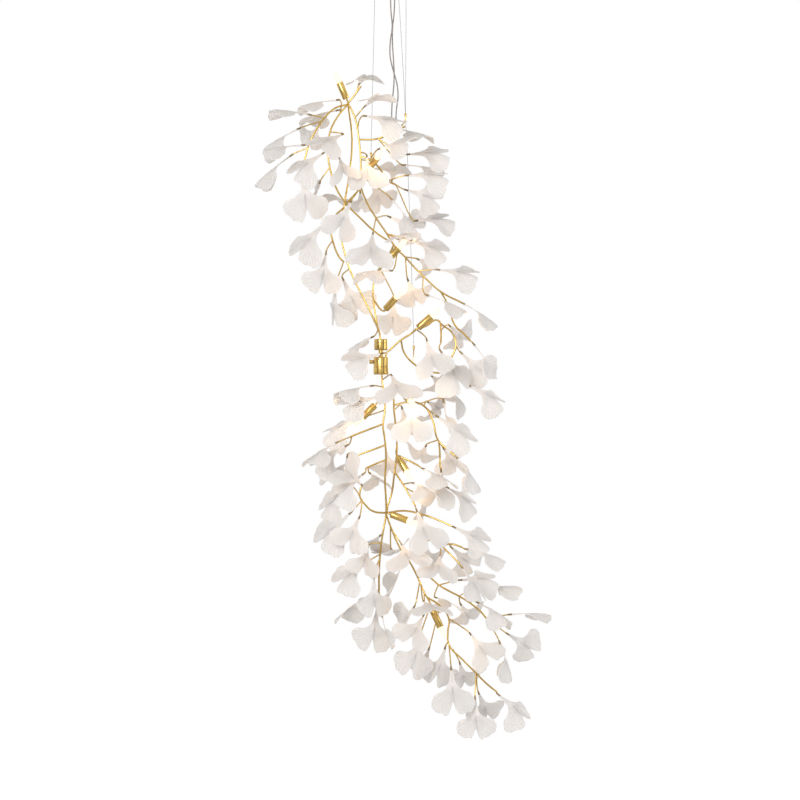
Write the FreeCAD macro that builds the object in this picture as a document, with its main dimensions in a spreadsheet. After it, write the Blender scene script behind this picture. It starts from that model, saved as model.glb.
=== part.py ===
import FreeCAD, Part
import Sketcher
import math
import os

# Branch chandelier: two brazed brass branches hung one under the other, porcelain leaves
# plugged on the twig ends, tube lamp holders with capsule bulbs, a ceiling canopy above.
# Frame: origin at the middle of the ceiling strap's back, +Z up, the front faces -Y.

Vector = FreeCAD.Vector
doc = FreeCAD.newDocument("BranchChandelier")

# ---------------------------------------------------------------- driving dimensions, mm
sheet = doc.addObject("Spreadsheet::Sheet", "Sizes")
sizes = [
    ("layout_step", 2.5), ("layout_drop", 50), ("axis_column", 392),
    ("canopy_radius", 80), ("canopy_height", 30), ("canopy_wall", 1.6), ("canopy_bevel", 5),
    ("strap_length", 120), ("strap_width", 26), ("strap_thick", 2.4),
    ("fixing_spacing", 60), ("fixing_hole_radius", 2.7),
    ("cover_screw_radius", 2), ("cover_screw_head", 4), ("fit_gap", 0.3),
    ("gripper_radius", 5), ("gripper_length", 10), ("gripper_nose", 3.6), ("gripper_bore", 2.4),
    ("gland_radius", 7), ("gland_length", 9),
    ("wire_radius", 0.6), ("cable_radius", 1.6),
    ("stop_radius", 3), ("stop_length", 8), ("cable_end_radius", 4), ("cable_end_length", 12),
    ("rod_radius", 2.4), ("twig_radius", 1.7), ("ferrule_length", 8),
    ("holder_radius", 8.75), ("holder_wall", 1), ("holder_length", 44), ("holder_floor", 3),
    ("ceramic_height", 14), ("ceramic_gap", 0.35),
    ("bulb_radius", 6.6), ("bulb_length", 54), ("bulb_nose", 5),
    ("upper_block_radius", 17), ("upper_block_height", 28),
    ("lower_block_radius", 19), ("lower_block_height", 44), ("block_bevel", 2.5),
    ("coupling_gap", 17), ("spigot_radius", 6), ("spigot_depth", 14), ("thumb_seat", 9),
    ("thumb_screw_radius", 5), ("thumb_screw_length", 10), ("thumb_stem_radius", 2.5),
    ("leaf_stalk", 30), ("stalk_width", 4.4), ("stalk_thick", 3.6),
    ("blade_reach", 75), ("blade_half_angle", 64), ("blade_thick", 2.2), ("rim_thick", 1.4),
    ("blade_droop", 22), ("cleft_depth", 26), ("rim_wave", 3),
    ("small_leaf", 0.86), ("large_leaf", 1.14),
]
for row, (alias, value) in enumerate(sizes, start=1):
    sheet.set("A%d" % row, alias)
    sheet.set("B%d" % row, str(value))
    sheet.setAlias("B%d" % row, alias)
doc.recompute()
aliases = [alias for alias, value in sizes]


def size(alias):
    return float(sheet.get(alias))


def keep(label, shape, place=None):
    # one named sub-part with its own shape and placement
    feature = doc.addObject("Part::Feature", label)
    feature.Label = label
    feature.Shape = shape
    if place is not None:
        feature.Placement = place
    parts.append(feature)
    return feature


parts = []
step = size("layout_step")


def spot(column, row, depth=0.0):
    # a point of the layout: column across, row down, depth toward the front
    x = (column - size("axis_column")) * step
    return Vector(x, -depth * step, -size("layout_drop") - row * step)


def frame_at(point, along, face):
    # placement whose X runs along a direction and whose Z is the nearest to face
    x = Vector(along).normalize()
    z = (face - x * face.dot(x)).normalize()
    y = z.cross(x)
    matrix = FreeCAD.Matrix(x.x, y.x, z.x, point.x, x.y, y.y, z.y, point.y,
                            x.z, y.z, z.z, point.z, 0, 0, 0, 1)
    return FreeCAD.Placement(matrix)


def axis_frame(point, along):
    # placement whose Z runs along a direction
    turn = FreeCAD.Rotation(Vector(0, 0, 1), along)
    return FreeCAD.Placement(point, turn)


def bar(points, radius, sides):
    # a straight-sided bar along a path, mitred at each corner
    clean = [points[0]]
    for point in points[1:]:
        if point.distanceToPoint(clean[-1]) > 1.0:
            clean.append(point)
    runs = [(b - a).normalize() for a, b in zip(clean, clean[1:])]
    side = runs[0].cross(Vector(0.31, 0.87, 0.38)).normalize()
    up = runs[0].cross(side)
    rings = []
    ring = []
    for number in range(sides):
        angle = 2 * math.pi * number / sides
        ring.append(clean[0] + side * (radius * math.cos(angle)) + up * (radius * math.sin(angle)))
    rings.append(ring)
    for index in range(1, len(clean)):
        run = runs[index - 1]
        if index < len(runs):
            normal = (run + runs[index]).normalize()
        else:
            normal = run
        new = []
        for corner in rings[-1]:
            reach = (clean[index] - corner).dot(normal) / run.dot(normal)
            new.append(corner + run * reach)
        rings.append(new)
    faces = [polygon(list(reversed(rings[0]))), polygon(rings[-1])]
    for low, high in zip(rings, rings[1:]):
        for number in range(sides):
            after = (number + 1) % sides
            faces.append(polygon([low[number], low[after], high[after], high[number]]))
    return closed_solid(faces)


def polygon(points):
    return Part.Face(Part.makePolygon(points + [points[0]]))


def closed_solid(faces):
    shell = Part.makeShell(faces)
    shell.sewShape()
    solid = Part.makeSolid(shell.Shells[0] if shell.ShapeType != "Shell" else shell)
    if solid.Volume < 0:
        solid.reverse()
    return solid


def leaf(share):
    # a cleft fan that arches like an umbrella, on a slender stalk; X runs out along the stalk
    stalk = size("leaf_stalk") * share
    reach = size("blade_reach") * share
    droop = size("blade_droop") * share
    wave = size("rim_wave") * share
    spread = math.radians(size("blade_half_angle"))
    half_width = size("stalk_width") / 2
    half_thick = size("stalk_thick") / 2
    ribs = [(-1, 0.80, 0.6), (-0.62, 0.98, -1), (-0.2, 1, 1), (0, 0, 0),
            (0.2, 1, 1), (0.62, 0.98, -1), (1, 0.80, 0.6)]

    def blade_point(turn, distance, lift):
        angle = turn * spread
        arch = (distance / reach) ** 2 * (0.45 + 0.75 * math.sin(angle) ** 2)
        return Vector(stalk + distance * math.cos(angle), distance * math.sin(angle),
                      lift * wave - droop * arch)

    tops = []
    bottoms = []
    for turn, length, lift in ribs:
        rim = length * reach
        if turn == 0:
            rim = reach - size("cleft_depth") * share
        middle = blade_point(turn, 0.45 * reach, 0)
        edge = blade_point(turn, rim, lift)
        thick = Vector(0, 0, size("blade_thick") / 2)
        thin = Vector(0, 0, size("rim_thick") / 2)
        tops.append((middle + thick, edge + thin))
        bottoms.append((middle - thick, edge - thin))
    root = {}
    for key, x in (("start", 0), ("throat", stalk)):
        width = half_width if key == "start" else 0.8 * half_width
        root[key] = [Vector(x, -width, half_thick), Vector(x, width, half_thick),
                     Vector(x, width, -half_thick), Vector(x, -width, -half_thick)]
    start = root["start"]
    throat = root["throat"]
    faces = [polygon([start[3], start[2], start[1], start[0]])]
    for number in range(4):
        after = (number + 1) % 4
        faces.append(polygon([start[number], start[after], throat[after]]))
        faces.append(polygon([start[number], throat[after], throat[number]]))
    half = len(ribs) // 2
    for rows, right, left in ((tops, throat[0], throat[1]), (bottoms, throat[3], throat[2])):
        for number in range(len(ribs) - 1):
            pivot = right if number < half else left
            inner, outer = rows[number], rows[number + 1]
            faces.append(polygon([pivot, inner[0], outer[0]]))
            faces.append(polygon([inner[0], inner[1], outer[1]]))
            faces.append(polygon([inner[0], outer[1], outer[0]]))
        faces.append(polygon([right, rows[half][0], left]))
    for number in range(len(ribs) - 1):
        a, b = tops[number][1], tops[number + 1][1]
        c, d = bottoms[number + 1][1], bottoms[number][1]
        faces.append(polygon([a, b, c]))
        faces.append(polygon([a, c, d]))
    for row, up, down in ((0, throat[0], throat[3]), (-1, throat[1], throat[2])):
        a, b = tops[row]
        c, d = bottoms[row]
        faces.append(polygon([up, a, c]))
        faces.append(polygon([up, c, down]))
        faces.append(polygon([a, b, d]))
        faces.append(polygon([a, d, c]))
    return closed_solid(faces)


# ---------------------------------------------------------------- the branch layout
# Rods: lists of (column, row, depth). Every rod after a section's first ones starts on
# the nearest point of a rod laid before it.
neck_column = 381
neck_row = 339
lower_row = neck_row + (size("upper_block_height") + size("coupling_gap")) / step
foot_row = lower_row + size("lower_block_height") / step
upper_rods = [
    [(neck_column - 1, neck_row, 0), (neck_column - 1, 335, 0), (374, 320, 0), (364, 299, -2), (353, 277, -4),
     (346, 258, -6), (341, 232, -8), (344, 205, -9), (349, 175, -8), (352, 140, -5), (348, 103, 0)],
]
upper_limbs = [
    [(348, 103, 0), (355, 118, 3), (359, 140, 5), (361, 165, 5), (361, 186, 5), (367, 203, 4),
     (376, 218, 3), (387, 234, 2), (396, 248, 1), (405, 257, 1), (415, 268, 1), (424, 277, 2),
     (441, 292, 3), (462, 303, 3)],
    [(348, 104, 0), (336, 120, 7), (330, 134, 10), (328, 150, 11), (330, 168, 11), (337, 190, 10),
     (347, 205, 8), (361, 219, 6), (375, 232, 3), (390, 242, 2)],
    [(347, 104, 0), (335, 109, 8), (325, 119, 13), (315, 134, 15), (309, 147, 15), (305, 162, 15),
     (303, 170, 15)],
    [(351, 102, 0), (357, 92, 1), (361, 86, 1)],
    [(361, 157, 5), (370, 160, 7), (379, 168, 6), (388, 181, 4), (396, 185, 3)],
    [(362, 186, 5), (356, 194, 7), (349, 203, 8)],
    [(343, 207, -9), (335, 216, -5), (331, 228, -2), (334, 245, -2), (340, 258, -5), (344, 262, -6)],
    [(392, 246, 1), (386, 260, -5), (377, 272, -8), (373, 289, -8), (374, 305, -5), (378, 330, -1)],
    [(441, 292, 3), (448, 304, -12), (455, 325, -6), (464, 334, 4), (470, 341, 10)],
    [(361, 170, 5), (371, 184, 9), (380, 190, 12)],
    [(359, 140, 5), (378, 138, -8), (396, 130, -14), (405, 125, -16)],
]
lower_rods = [
    [(neck_column + 1, foot_row, 0), (neck_column + 1, 380, 0), (384, 392, 2), (385, 410, 3), (383, 425, 4), (385, 440, 4),
     (386, 455, 3), (385, 480, 2), (386, 500, 1), (386, 514, 0), (383, 532, 1), (381, 545, 1),
     (380, 556, 1), (379, 575, 1), (379, 590, 0)],
]
lower_limbs = [
    [(384, 390, 2), (392, 395, 4), (394, 410, 4), (396, 430, 2), (397, 446, 1), (396, 462, 1),
     (394, 476, 1), (392, 492, 0), (387, 508, 0)],
    [(384, 392, 2), (396, 389, 6), (403, 391, 7), (410, 398, 8)],
    [(386, 514, 0), (392, 530, -2), (400, 548, -5), (409, 561, -6), (418, 578, -4), (424, 592, -1),
     (431, 604, 1)],
    [(418, 578, -4), (424, 573, -2), (432, 579, -1), (439, 585, 0), (449, 591, 1), (459, 596, 1),
     (470, 603, 0), (480, 611, -1), (487, 619, -1)],
    [(427, 597, 0), (440, 606, -5), (449, 619, -8), (448, 632, -6), (449, 645, -2), (462, 659, 0),
     (476, 673, 0), (487, 684, 0), (497, 692, 0)],
    [(396, 455, 1), (406, 459, 4), (419, 466, 6)],
    [(396, 405, 4), (412, 402, -8), (424, 406, -10), (433, 421, -7), (438, 440, -3), (447, 449, 0),
     (455, 456, 2)],
    [(438, 442, -3), (440, 455, -5), (440, 466, -5)],
    [(395, 472, 1), (403, 484, 6), (410, 496, 10), (415, 505, 13)],
    [(387, 513, 0), (404, 511, -6), (420, 514, -8), (440, 521, -5), (451, 526, -2)],
    [(420, 514, -8), (428, 531, -4), (441, 545, 0), (452, 556, 4), (460, 564, 6)],
    [(441, 545, 0), (452, 544, 3), (462, 547, 4)],
    [(385, 513, 0), (373, 511, 5), (365, 504, 8), (360, 496, 9), (361, 487, 9)],
    [(383, 424, 4), (370, 429, 8), (357, 434, 10), (350, 437, 11)],
    [(385, 445, 4), (372, 450, 0), (358, 455, -3)],
    [(386, 460, 3), (375, 464, 10), (366, 468, 12)],
]
neck_rods = [
    [(neck_column + 5, lower_row, 0), (neck_column + 5, 354, 0), (391, 349, 0), (401, 340, 0), (412, 333, 0), (416, 329, 0)],
]
neck_limbs = [
    [(416, 329, 0), (426, 326, -8), (438, 320, -10), (441, 330, -6), (441, 342, 2)],
    [(438, 320, -10), (443, 325, -12), (452, 332, -14), (456, 345, -13), (450, 362, -12),
     (449, 373, -9)],
    [(401, 340, 0), (404, 352, -8), (412, 362, -12), (425, 370, -13), (449, 374, -10)],
]

# Lamps: where the holder leaves its rod, the middle of its foot (column, row, depth),
# and its direction (across, down, toward the front).
lamps = {
    "a": ("upper", (349, 107), (346.5, 99, 3), (-6.5, -15, 2)),
    "b": ("upper", (366, 158), (371, 167, 15), (6, -7, 14)),
    "c": ("upper", (378, 271), (387, 262, 10), (12, -14, 1)),
    "d": ("upper", (374, 300), (386, 309, 4), (10, -11, 9)),
    "e": ("neck", (412, 333), (418, 328, 3), (14, -12, 2)),
    "f": ("lower", (384, 395), (375, 405, 8), (-13, 13, 2)),
    "g": ("lower", (403, 391), (404, 394, 12), (6, 7, 15)),
    "h": ("lower", (397, 446), (398, 457, 6), (8, 13, 7)),
    "i": ("lower", (388, 507), (391, 514, 5), (16, 6, 3)),
    "j": ("lower", (431, 604), (433, 611, 2), (8, 17, 2)),
}

# Leaves: fork on the rods (column, row), socket where the stalk starts (column, row,
# depth), the picture-side direction of the tip (column, row), +1 toward the front or -1
# away from it, size, and the way the arched face looks: U up, D down, V front, B back,
# L and R across.
leaf_rows = {
    ("crown_leaves", "upper"): [
        ((357, 92), (359, 84, -3), (367, 67), -1, "m", "U"),
        ((355, 118), (366, 106, 7), (384, 95), 1, "m", "U"),
        ((357, 130), (366, 117, 10), (406, 124), 1, "m", "UV"),
        ((340, 114), (337, 101, 10), (298, 106), 1, "m", "U"),
        ((342, 110), (337, 110, -4), (301, 115), -1, "m", "U"),
        ((396, 130), (398, 127, -27), (431, 134), 1, "m", "U"),
        ((325, 119), (309, 116, 17), (271, 110), 1, "m", "U"),
        ((323, 122), (298, 129, 0), (257, 149), -1, "m", "U"),
    ],
    ("upper_left_leaves", "upper"): [
        ((309, 146), (303, 147, 22), (262, 150), 1, "m", "U"),
        ((325, 119), (320, 124, 2), (305, 148), -1, "s", "V"),
        ((331, 133), (342, 136, 15), (318, 148), 1, "m", "UV"),
        ((309, 149), (291, 157, 14), (250, 186), -1, "l", "U"),
        ((328, 150), (323, 155, 18), (290, 177), 1, "m", "UV"),
        ((329, 158), (340, 160, 15), (346, 180), 1, "s", "V"),
        ((304, 168), (303, 176, 15), (309, 226), 1, "l", "V"),
        ((330, 168), (320, 183, 6), (313, 202), -1, "s", "RV"),
    ],
    ("upper_right_leaves", "upper"): [
        ((370, 160), (380, 150, 16), (410, 142), 1, "m", "UV"),
        ((378, 138), (409, 154, -4), (453, 151), 1, "m", "UV"),
        ((378, 138), (405, 163, -28), (449, 166), -1, "m", "U"),
        ((388, 181), (408, 176, 8), (452, 174), 1, "m", "UV"),
        ((396, 185), (392, 180, -4), (396, 157), -1, "m", "V"),
        ((396, 185), (407, 190, -4), (445, 200), -1, "m", "V"),
        ((396, 185), (417, 219, -30), (455, 214), -1, "m", "UV"),
        ((380, 190), (392, 200, 7), (427, 240), 1, "l", "U"),
    ],
    ("upper_middle_leaves", "upper"): [
        ((361, 152), (367, 158, 12), (369, 190), 1, "m", "V"),
        ((361, 175), (372, 181, -6), (384, 212), -1, "m", "V"),
        ((344, 205), (360, 191, -20), (361, 213), -1, "s", "V"),
        ((345, 200), (347, 204, -14), (328, 188), -1, "s", "U"),
        ((349, 203), (351, 203, 15), (335, 238), 1, "m", "V"),
        ((376, 218), (373, 235, 16), (369, 267), 1, "l", "V"),
        ((387, 234), (399, 240, 30), (409, 233), 1, "m", "U"),
        ((387, 234), (411, 240, -4), (450, 254), 1, "m", "UV"),
        ((376, 218), (390, 216, -20), (426, 232), -1, "m", "V"),
        ((398, 250), (390, 271, 8), (358, 272), 1, "m", "U"),
    ],
    ("drop_leaves", "upper"): [
        ((333, 222), (324, 224, 4), (292, 258), 1, "l", "UV"),
        ((332, 240), (326, 254, 4), (320, 297), 1, "m", "V"),
        ((343, 262), (335, 288, -12), (332, 328), -1, "m", "LV"),
        ((350, 268), (343, 279, -12), (362, 320), -1, "l", "V"),
        ((378, 330), (372, 337, -10), (343, 350), -1, "m", "UV"),
        ((380, 268), (394, 300, -14), (392, 338), -1, "m", "V"),
    ],
    ("arm_leaves", "upper"): [
        ((405, 257), (418, 259, -4), (437, 266), -1, "m", "V"),
        ((418, 271), (439, 270, 4), (480, 275), 1, "m", "UV"),
        ((423, 276), (428, 296, 15), (468, 309), 1, "m", "U"),
        ((452, 298), (464, 304, 3), (502, 325), 1, "m", "U"),
        ((405, 258), (408, 280, -3), (418, 308), -1, "m", "V"),
        ((470, 341), (474, 345, 13), (501, 379), 1, "m", "U"),
    ],
    ("neck_leaves", "neck"): [
        ((441, 342), (441, 352, 8), (466, 393), 1, "l", "UV"),
        ((456, 345), (462, 353, -18), (494, 385), -1, "m", "V"),
        ((416, 329), (427, 341, 10), (436, 375), 1, "m", "V"),
        ((425, 370), (432, 376, -18), (448, 389), -1, "m", "V"),
        ((449, 373), (445, 388, -14), (469, 404), -1, "m", "UV"),
        ((449, 373), (470, 386, -4), (511, 407), 1, "m", "UV"),
        ((441, 330), (450, 326, -4), (470, 345), -1, "m", "V"),
        ((389, 354), (381, 354, 12), (343, 363), 1, "m", "UV"),
    ],
    ("shoulder_left_leaves", "lower"): [
        ((383, 387), (371, 386, 4), (334, 391), 1, "m", "U"),
        ((384, 392), (378, 397, 14), (339, 406), 1, "m", "UV"),
        ((385, 410), (362, 418, -8), (318, 434), -1, "l", "UV"),
        ((350, 437), (336, 443, 14), (304, 460), 1, "m", "U"),
        ((352, 436), (346, 446, 6), (309, 466), -1, "m", "UV"),
        ((358, 455), (352, 462, -24), (320, 475), -1, "m", "U"),
        ((358, 455), (347, 457, -8), (340, 490), -1, "s", "L"),
        ((384, 440), (386, 452, -10), (392, 480), -1, "m", "V"),
        ((382, 380), (392, 376, 12), (402, 397), 1, "l", "UV"),
    ],
    ("shoulder_right_leaves", "lower"): [
        ((410, 398), (411, 404, 14), (412, 443), 1, "m", "V"),
        ((424, 406), (428, 402, -18), (447, 413), -1, "m", "V"),
        ((418, 404), (444, 402, -26), (449, 438), -1, "s", "L"),
        ((424, 406), (438, 417, -2), (478, 444), 1, "l", "UV"),
        ((438, 440), (426, 446, -10), (418, 466), -1, "m", "V"),
        ((440, 443), (444, 449, -10), (461, 472), -1, "m", "U"),
        ((455, 456), (457, 458, 3), (485, 490), 1, "m", "U"),
        ((394, 410), (402, 408, -14), (410, 440), -1, "m", "V"),
    ],
    ("waist_right_leaves", "lower"): [
        ((419, 466), (424, 469, 8), (453, 482), 1, "m", "U"),
        ((440, 466), (441, 472, -2), (436, 506), 1, "m", "V"),
        ((440, 466), (448, 488, -8), (481, 509), -1, "m", "UV"),
        ((403, 484), (414, 483, 14), (433, 489), 1, "s", "U"),
        ((405, 487), (420, 497, -4), (430, 514), -1, "m", "RV"),
        ((415, 505), (417, 511, 14), (430, 548), 1, "l", "V"),
    ],
    ("waist_left_leaves", "lower"): [
        ((366, 468), (363, 474, 16), (330, 500), 1, "m", "UV"),
        ((368, 466), (370, 473, 6), (384, 483), -1, "s", "U"),
        ((361, 487), (361, 484, 12), (344, 468), 1, "m", "V"),
        ((362, 500), (348, 488, 2), (317, 515), -1, "m", "UV"),
        ((362, 500), (350, 513, 16), (311, 548), 1, "l", "UV"),
        ((362, 500), (359, 518, 15), (346, 546), 1, "m", "V"),
    ],
    ("knee_left_leaves", "lower"): [
        ((383, 532), (380, 536, -6), (364, 550), -1, "m", "U"),
        ((381, 543), (368, 547, 4), (362, 572), 1, "s", "V"),
        ((380, 554), (367, 562, 7), (333, 586), 1, "m", "UV"),
        ((380, 558), (374, 577, 12), (374, 619), 1, "m", "V"),
        ((379, 590), (364, 599, -8), (336, 619), -1, "m", "U"),
        ((379, 588), (377, 610, -15), (371, 657), -1, "l", "V"),
        ((379, 590), (382, 616, 2), (390, 650), 1, "s", "L"),
        ((402, 552), (402, 565, -10), (390, 600), -1, "m", "R"),
    ],
    ("knee_right_leaves", "lower"): [
        ((392, 530), (402, 545, 6), (411, 562), 1, "l", "UV"),
        ((390, 526), (391, 549, -8), (395, 560), -1, "m", "V"),
        ((441, 545), (440, 556, 4), (437, 575), 1, "m", "V"),
        ((451, 526), (455, 528, -12), (496, 548), -1, "m", "UV"),
        ((462, 547), (467, 549, 8), (511, 559), 1, "m", "U"),
        ((452, 545), (452, 548, -6), (478, 574), -1, "m", "V"),
        ((460, 564), (462, 567, 20), (486, 599), 1, "m", "U"),
        ((434, 538), (426, 546, -14), (432, 574), -1, "m", "V"),
    ],
    ("tail_left_leaves", "lower"): [
        ((420, 582), (414, 607, 2), (401, 630), -1, "m", "R"),
        ((424, 592), (423, 616, 6), (408, 641), 1, "m", "V"),
        ((421, 585), (424, 601, 10), (436, 606), 1, "m", "U"),
        ((431, 604), (421, 633, 8), (410, 680), 1, "l", "V"),
        ((440, 606), (429, 650, -12), (419, 681), -1, "m", "V"),
        ((438, 585), (436, 598, -8), (456, 606), -1, "m", "U"),
    ],
    ("tail_right_leaves", "lower"): [
        ((439, 585), (461, 580, 0), (500, 578), -1, "m", "UV"),
        ((459, 596), (477, 590, -28), (525, 585), -1, "l", "U"),
        ((470, 603), (478, 602, 15), (512, 618), 1, "m", "U"),
        ((459, 596), (461, 605, -8), (474, 628), -1, "m", "V"),
        ((449, 619), (471, 635, -4), (491, 661), 1, "m", "V"),
        ((487, 619), (500, 643, 3), (517, 686), 1, "m", "R"),
        ((487, 619), (508, 634, 2), (541, 656), -1, "m", "V"),
        ((487, 619), (511, 615, -8), (551, 613), -1, "m", "U"),
    ],
    ("tip_leaves", "lower"): [
        ((449, 642), (445, 648, 0), (434, 691), -1, "l", "V"),
        ((449, 645), (451, 668, 15), (454, 713), 1, "l", "V"),
        ((452, 650), (460, 664, -8), (468, 694), -1, "m", "V"),
        ((476, 673), (475, 698, 7), (476, 739), 1, "m", "V"),
        ((476, 673), (479, 694, -6), (492, 727), -1, "m", "V"),
        ((497, 692), (499, 695, 0), (532, 722), -1, "m", "UV"),
    ],
}

faces_by_letter = {"U": Vector(0, 0, 1), "D": Vector(0, 0, -1), "V": Vector(0, -1, 0),
                   "B": Vector(0, 1, 0), "L": Vector(-1, 0, 0), "R": Vector(1, 0, 0)}
leaf_sizes = {"s": size("small_leaf"), "m": 1.0, "l": size("large_leaf")}


def nearest_on(rods, column, row):
    # the point of the rods' centre lines that lies nearest in the front view
    best = None
    for rod in rods:
        for a, b in zip(rod, rod[1:]):
            across = (b[0] - a[0], b[1] - a[1])
            length = across[0] ** 2 + across[1] ** 2
            share = ((column - a[0]) * across[0] + (row - a[1]) * across[1]) / max(length, 1e-6)
            share = min(max(share, 0.0), 1.0)
            found = [a[k] + (b[k] - a[k]) * share for k in range(3)]
            miss = math.hypot(found[0] - column, found[1] - row)
            if best is None or miss < best[0]:
                best = (miss, found)
    return best[1]


def laid(roots, limbs):
    # every limb starts on the rods laid before it
    rods = [list(rod) for rod in roots]
    for limb in limbs:
        rods.append([tuple(nearest_on(rods, limb[0][0], limb[0][1]))] + list(limb[1:]))
    return rods


sections = {"upper": laid(upper_rods, upper_limbs), "lower": laid(lower_rods, lower_limbs),
            "neck": laid(neck_rods, neck_limbs)}
bars = {name: [] for name in sections}
for name, rods in sections.items():
    for rod in rods:
        bars[name].append(bar([spot(*point) for point in rod], size("rod_radius"), 6))


def tie(section, fork, foot, along, radius):
    # a twig from the rods to a foot point, its last stretch square to what it carries
    start = spot(*nearest_on(sections[section], fork[0], fork[1]))
    knee = foot - along * size("ferrule_length")
    bars[section].append(bar([start, knee, foot], radius, 4))


# Leaves: three sizes of one shape, set out in groups.
patterns = {key: leaf(share) for key, share in leaf_sizes.items()}
for (label, section), rows in leaf_rows.items():
    copies = []
    for fork, socket, tip, way, key, face in rows:
        length = (size("leaf_stalk") + size("blade_reach")) * leaf_sizes[key]
        flat = Vector(tip[0] - socket[0], 0, socket[1] - tip[1]) * step
        lean = math.sqrt(max(length ** 2 - flat.Length ** 2, 0.0))
        along = Vector(flat.x, -way * lean, flat.z).normalize()
        toward = Vector(0, 0, 0)
        for letter in face:
            toward = toward + faces_by_letter[letter]
        foot = spot(*socket)
        tie(section, fork, foot, along, size("twig_radius"))
        copy = patterns[key].copy()
        copy.Placement = frame_at(foot, along, toward)
        copies.append(copy)
    keep(label, Part.makeCompound(copies))


def body_turned(label, corners):
    # a body of revolution: corners are (radius, height) written in the sheet's names
    body = doc.addObject("PartDesign::Body", label)
    body.Label = label
    plane = [item for item in body.Origin.OriginFeatures if item.Role == "XZ_Plane"][0]
    sketch = body.newObject("Sketcher::SketchObject", label + "_profile")
    sketch.AttachmentSupport = [(plane, "")]
    sketch.MapMode = "FlatFace"
    values = [(number_of(radius), number_of(height)) for radius, height in corners]
    count = len(values)
    for number in range(count):
        a = values[number]
        b = values[(number + 1) % count]
        sketch.addGeometry(Part.LineSegment(Vector(a[0], a[1], 0), Vector(b[0], b[1], 0)), False)
    for number in range(count):
        sketch.addConstraint(Sketcher.Constraint("Coincident", number, 2, (number + 1) % count, 1))
    for number, (radius, height) in enumerate(corners):
        for kind, text, value, axis in (("DistanceX", radius, values[number][0], -2),
                                        ("DistanceY", height, values[number][1], -1)):
            if text == "0":
                sketch.addConstraint(Sketcher.Constraint("PointOnObject", number, 1, axis))
            else:
                rule = Sketcher.Constraint(kind, -1, 1, number, 1, value)
                index = sketch.addConstraint(rule)
                sketch.setExpression("Constraints[%d]" % index, named(text))
    turned = body.newObject("PartDesign::Revolution", label + "_turned")
    turned.Profile = sketch
    turned.ReferenceAxis = (sketch, ["V_Axis"])
    turned.Angle = 360
    body.Tip = turned
    doc.recompute()
    return body


def named(text):
    # a formula in size names, written for the document
    return " ".join("<<Sizes>>." + word if word in aliases else word for word in text.split())


def number_of(text):
    # the number of a formula written as names, numbers, + and - with blanks between
    total = 0.0
    sign = 1
    for word in text.split():
        if word in ("+", "-"):
            sign = 1 if word == "+" else -1
        else:
            total += sign * (size(word) if word in aliases else float(word))
    return total


def turned_in_flats(corners, sides=16):
    # the same kind of profile turned as flats, for the many small fittings
    values = [(number_of(radius), number_of(height)) for radius, height in corners]
    rings = []
    for radius, height in values:
        ring = [Vector(0, 0, height)] * sides
        if radius > 0:
            turns = [2 * math.pi * number / sides for number in range(sides)]
            ring = [Vector(radius * math.cos(turn), radius * math.sin(turn), height) for turn in turns]
        rings.append(ring)
    faces = []
    for index in range(len(values)):
        low, high = rings[index], rings[(index + 1) % len(rings)]
        if values[index][0] == 0 and values[(index + 1) % len(values)][0] == 0:
            continue
        if values[index][0] == 0 or values[(index + 1) % len(values)][0] == 0:
            faces.append(polygon(low if values[index][0] > 0 else high))
            continue
        for number in range(sides):
            after = (number + 1) % sides
            faces.append(polygon([low[number], low[after], high[after], high[number]]))
    return closed_solid(faces)


def copy_of(shape, label, place):
    return keep(label, shape.copy(), place)


# Lamps: a brass tube holder, a ceramic socket on its floor and a capsule bulb in it.
holder = turned_in_flats([
    ("0", "0"), ("holder_radius", "0"), ("holder_radius", "holder_length"),
    ("holder_radius - holder_wall", "holder_length"), ("holder_radius - holder_wall", "holder_floor"),
    ("0", "holder_floor")])
ceramic = turned_in_flats([
    ("0", "holder_floor"), ("holder_radius - holder_wall - ceramic_gap", "holder_floor"),
    ("holder_radius - holder_wall - ceramic_gap", "holder_floor + ceramic_height"),
    ("0", "holder_floor + ceramic_height")])
bulb_foot = "holder_floor + ceramic_height"
bulb_top = bulb_foot + " + bulb_length"
bulb = turned_in_flats([
    ("0", bulb_foot), ("bulb_radius", bulb_foot), ("bulb_radius", bulb_top + " - bulb_nose"),
    ("bulb_radius - bulb_nose + 2", bulb_top), ("0", bulb_top)])
ceramics = []
for letter, (section, fork, foot, course) in lamps.items():
    along = Vector(course[0], -course[2], -course[1]).normalize()
    point = spot(*foot)
    tie(section, fork, point, along, size("rod_radius"))
    place = axis_frame(point, along)
    copy_of(holder, "lamp_holder_" + letter, place)
    copy_of(bulb, "bulb_" + letter, place)
    socket = ceramic.copy()
    socket.Placement = place
    ceramics.append(socket)
keep("lamp_sockets", Part.makeCompound(ceramics))

# The coupling between the upper and the lower branch: a block on each, joined by a spigot.
neck_top = spot(neck_column, neck_row)
upper_block = body_turned("upper_coupling", [
    ("spigot_radius + fit_gap", "0 - upper_block_height"),
    ("upper_block_radius - block_bevel", "0 - upper_block_height"),
    ("upper_block_radius", "0 - upper_block_height + block_bevel"),
    ("upper_block_radius", "0 - block_bevel"), ("upper_block_radius - block_bevel", "0"),
    ("0", "0"), ("0", "0 - upper_block_height + spigot_depth + fit_gap"),
    ("spigot_radius + fit_gap", "0 - upper_block_height + spigot_depth + fit_gap")])
upper_block.Placement = FreeCAD.Placement(neck_top, FreeCAD.Rotation())
parts.append(upper_block)
lower_block = body_turned("lower_turned_pattern", [
    ("0", "0 - lower_block_height"), ("lower_block_radius - block_bevel", "0 - lower_block_height"),
    ("lower_block_radius", "0 - lower_block_height + block_bevel"),
    ("lower_block_radius", "0 - block_bevel"), ("lower_block_radius - block_bevel", "0"),
    ("spigot_radius", "0"), ("spigot_radius", "coupling_gap + spigot_depth"),
    ("0", "coupling_gap + spigot_depth")])
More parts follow.
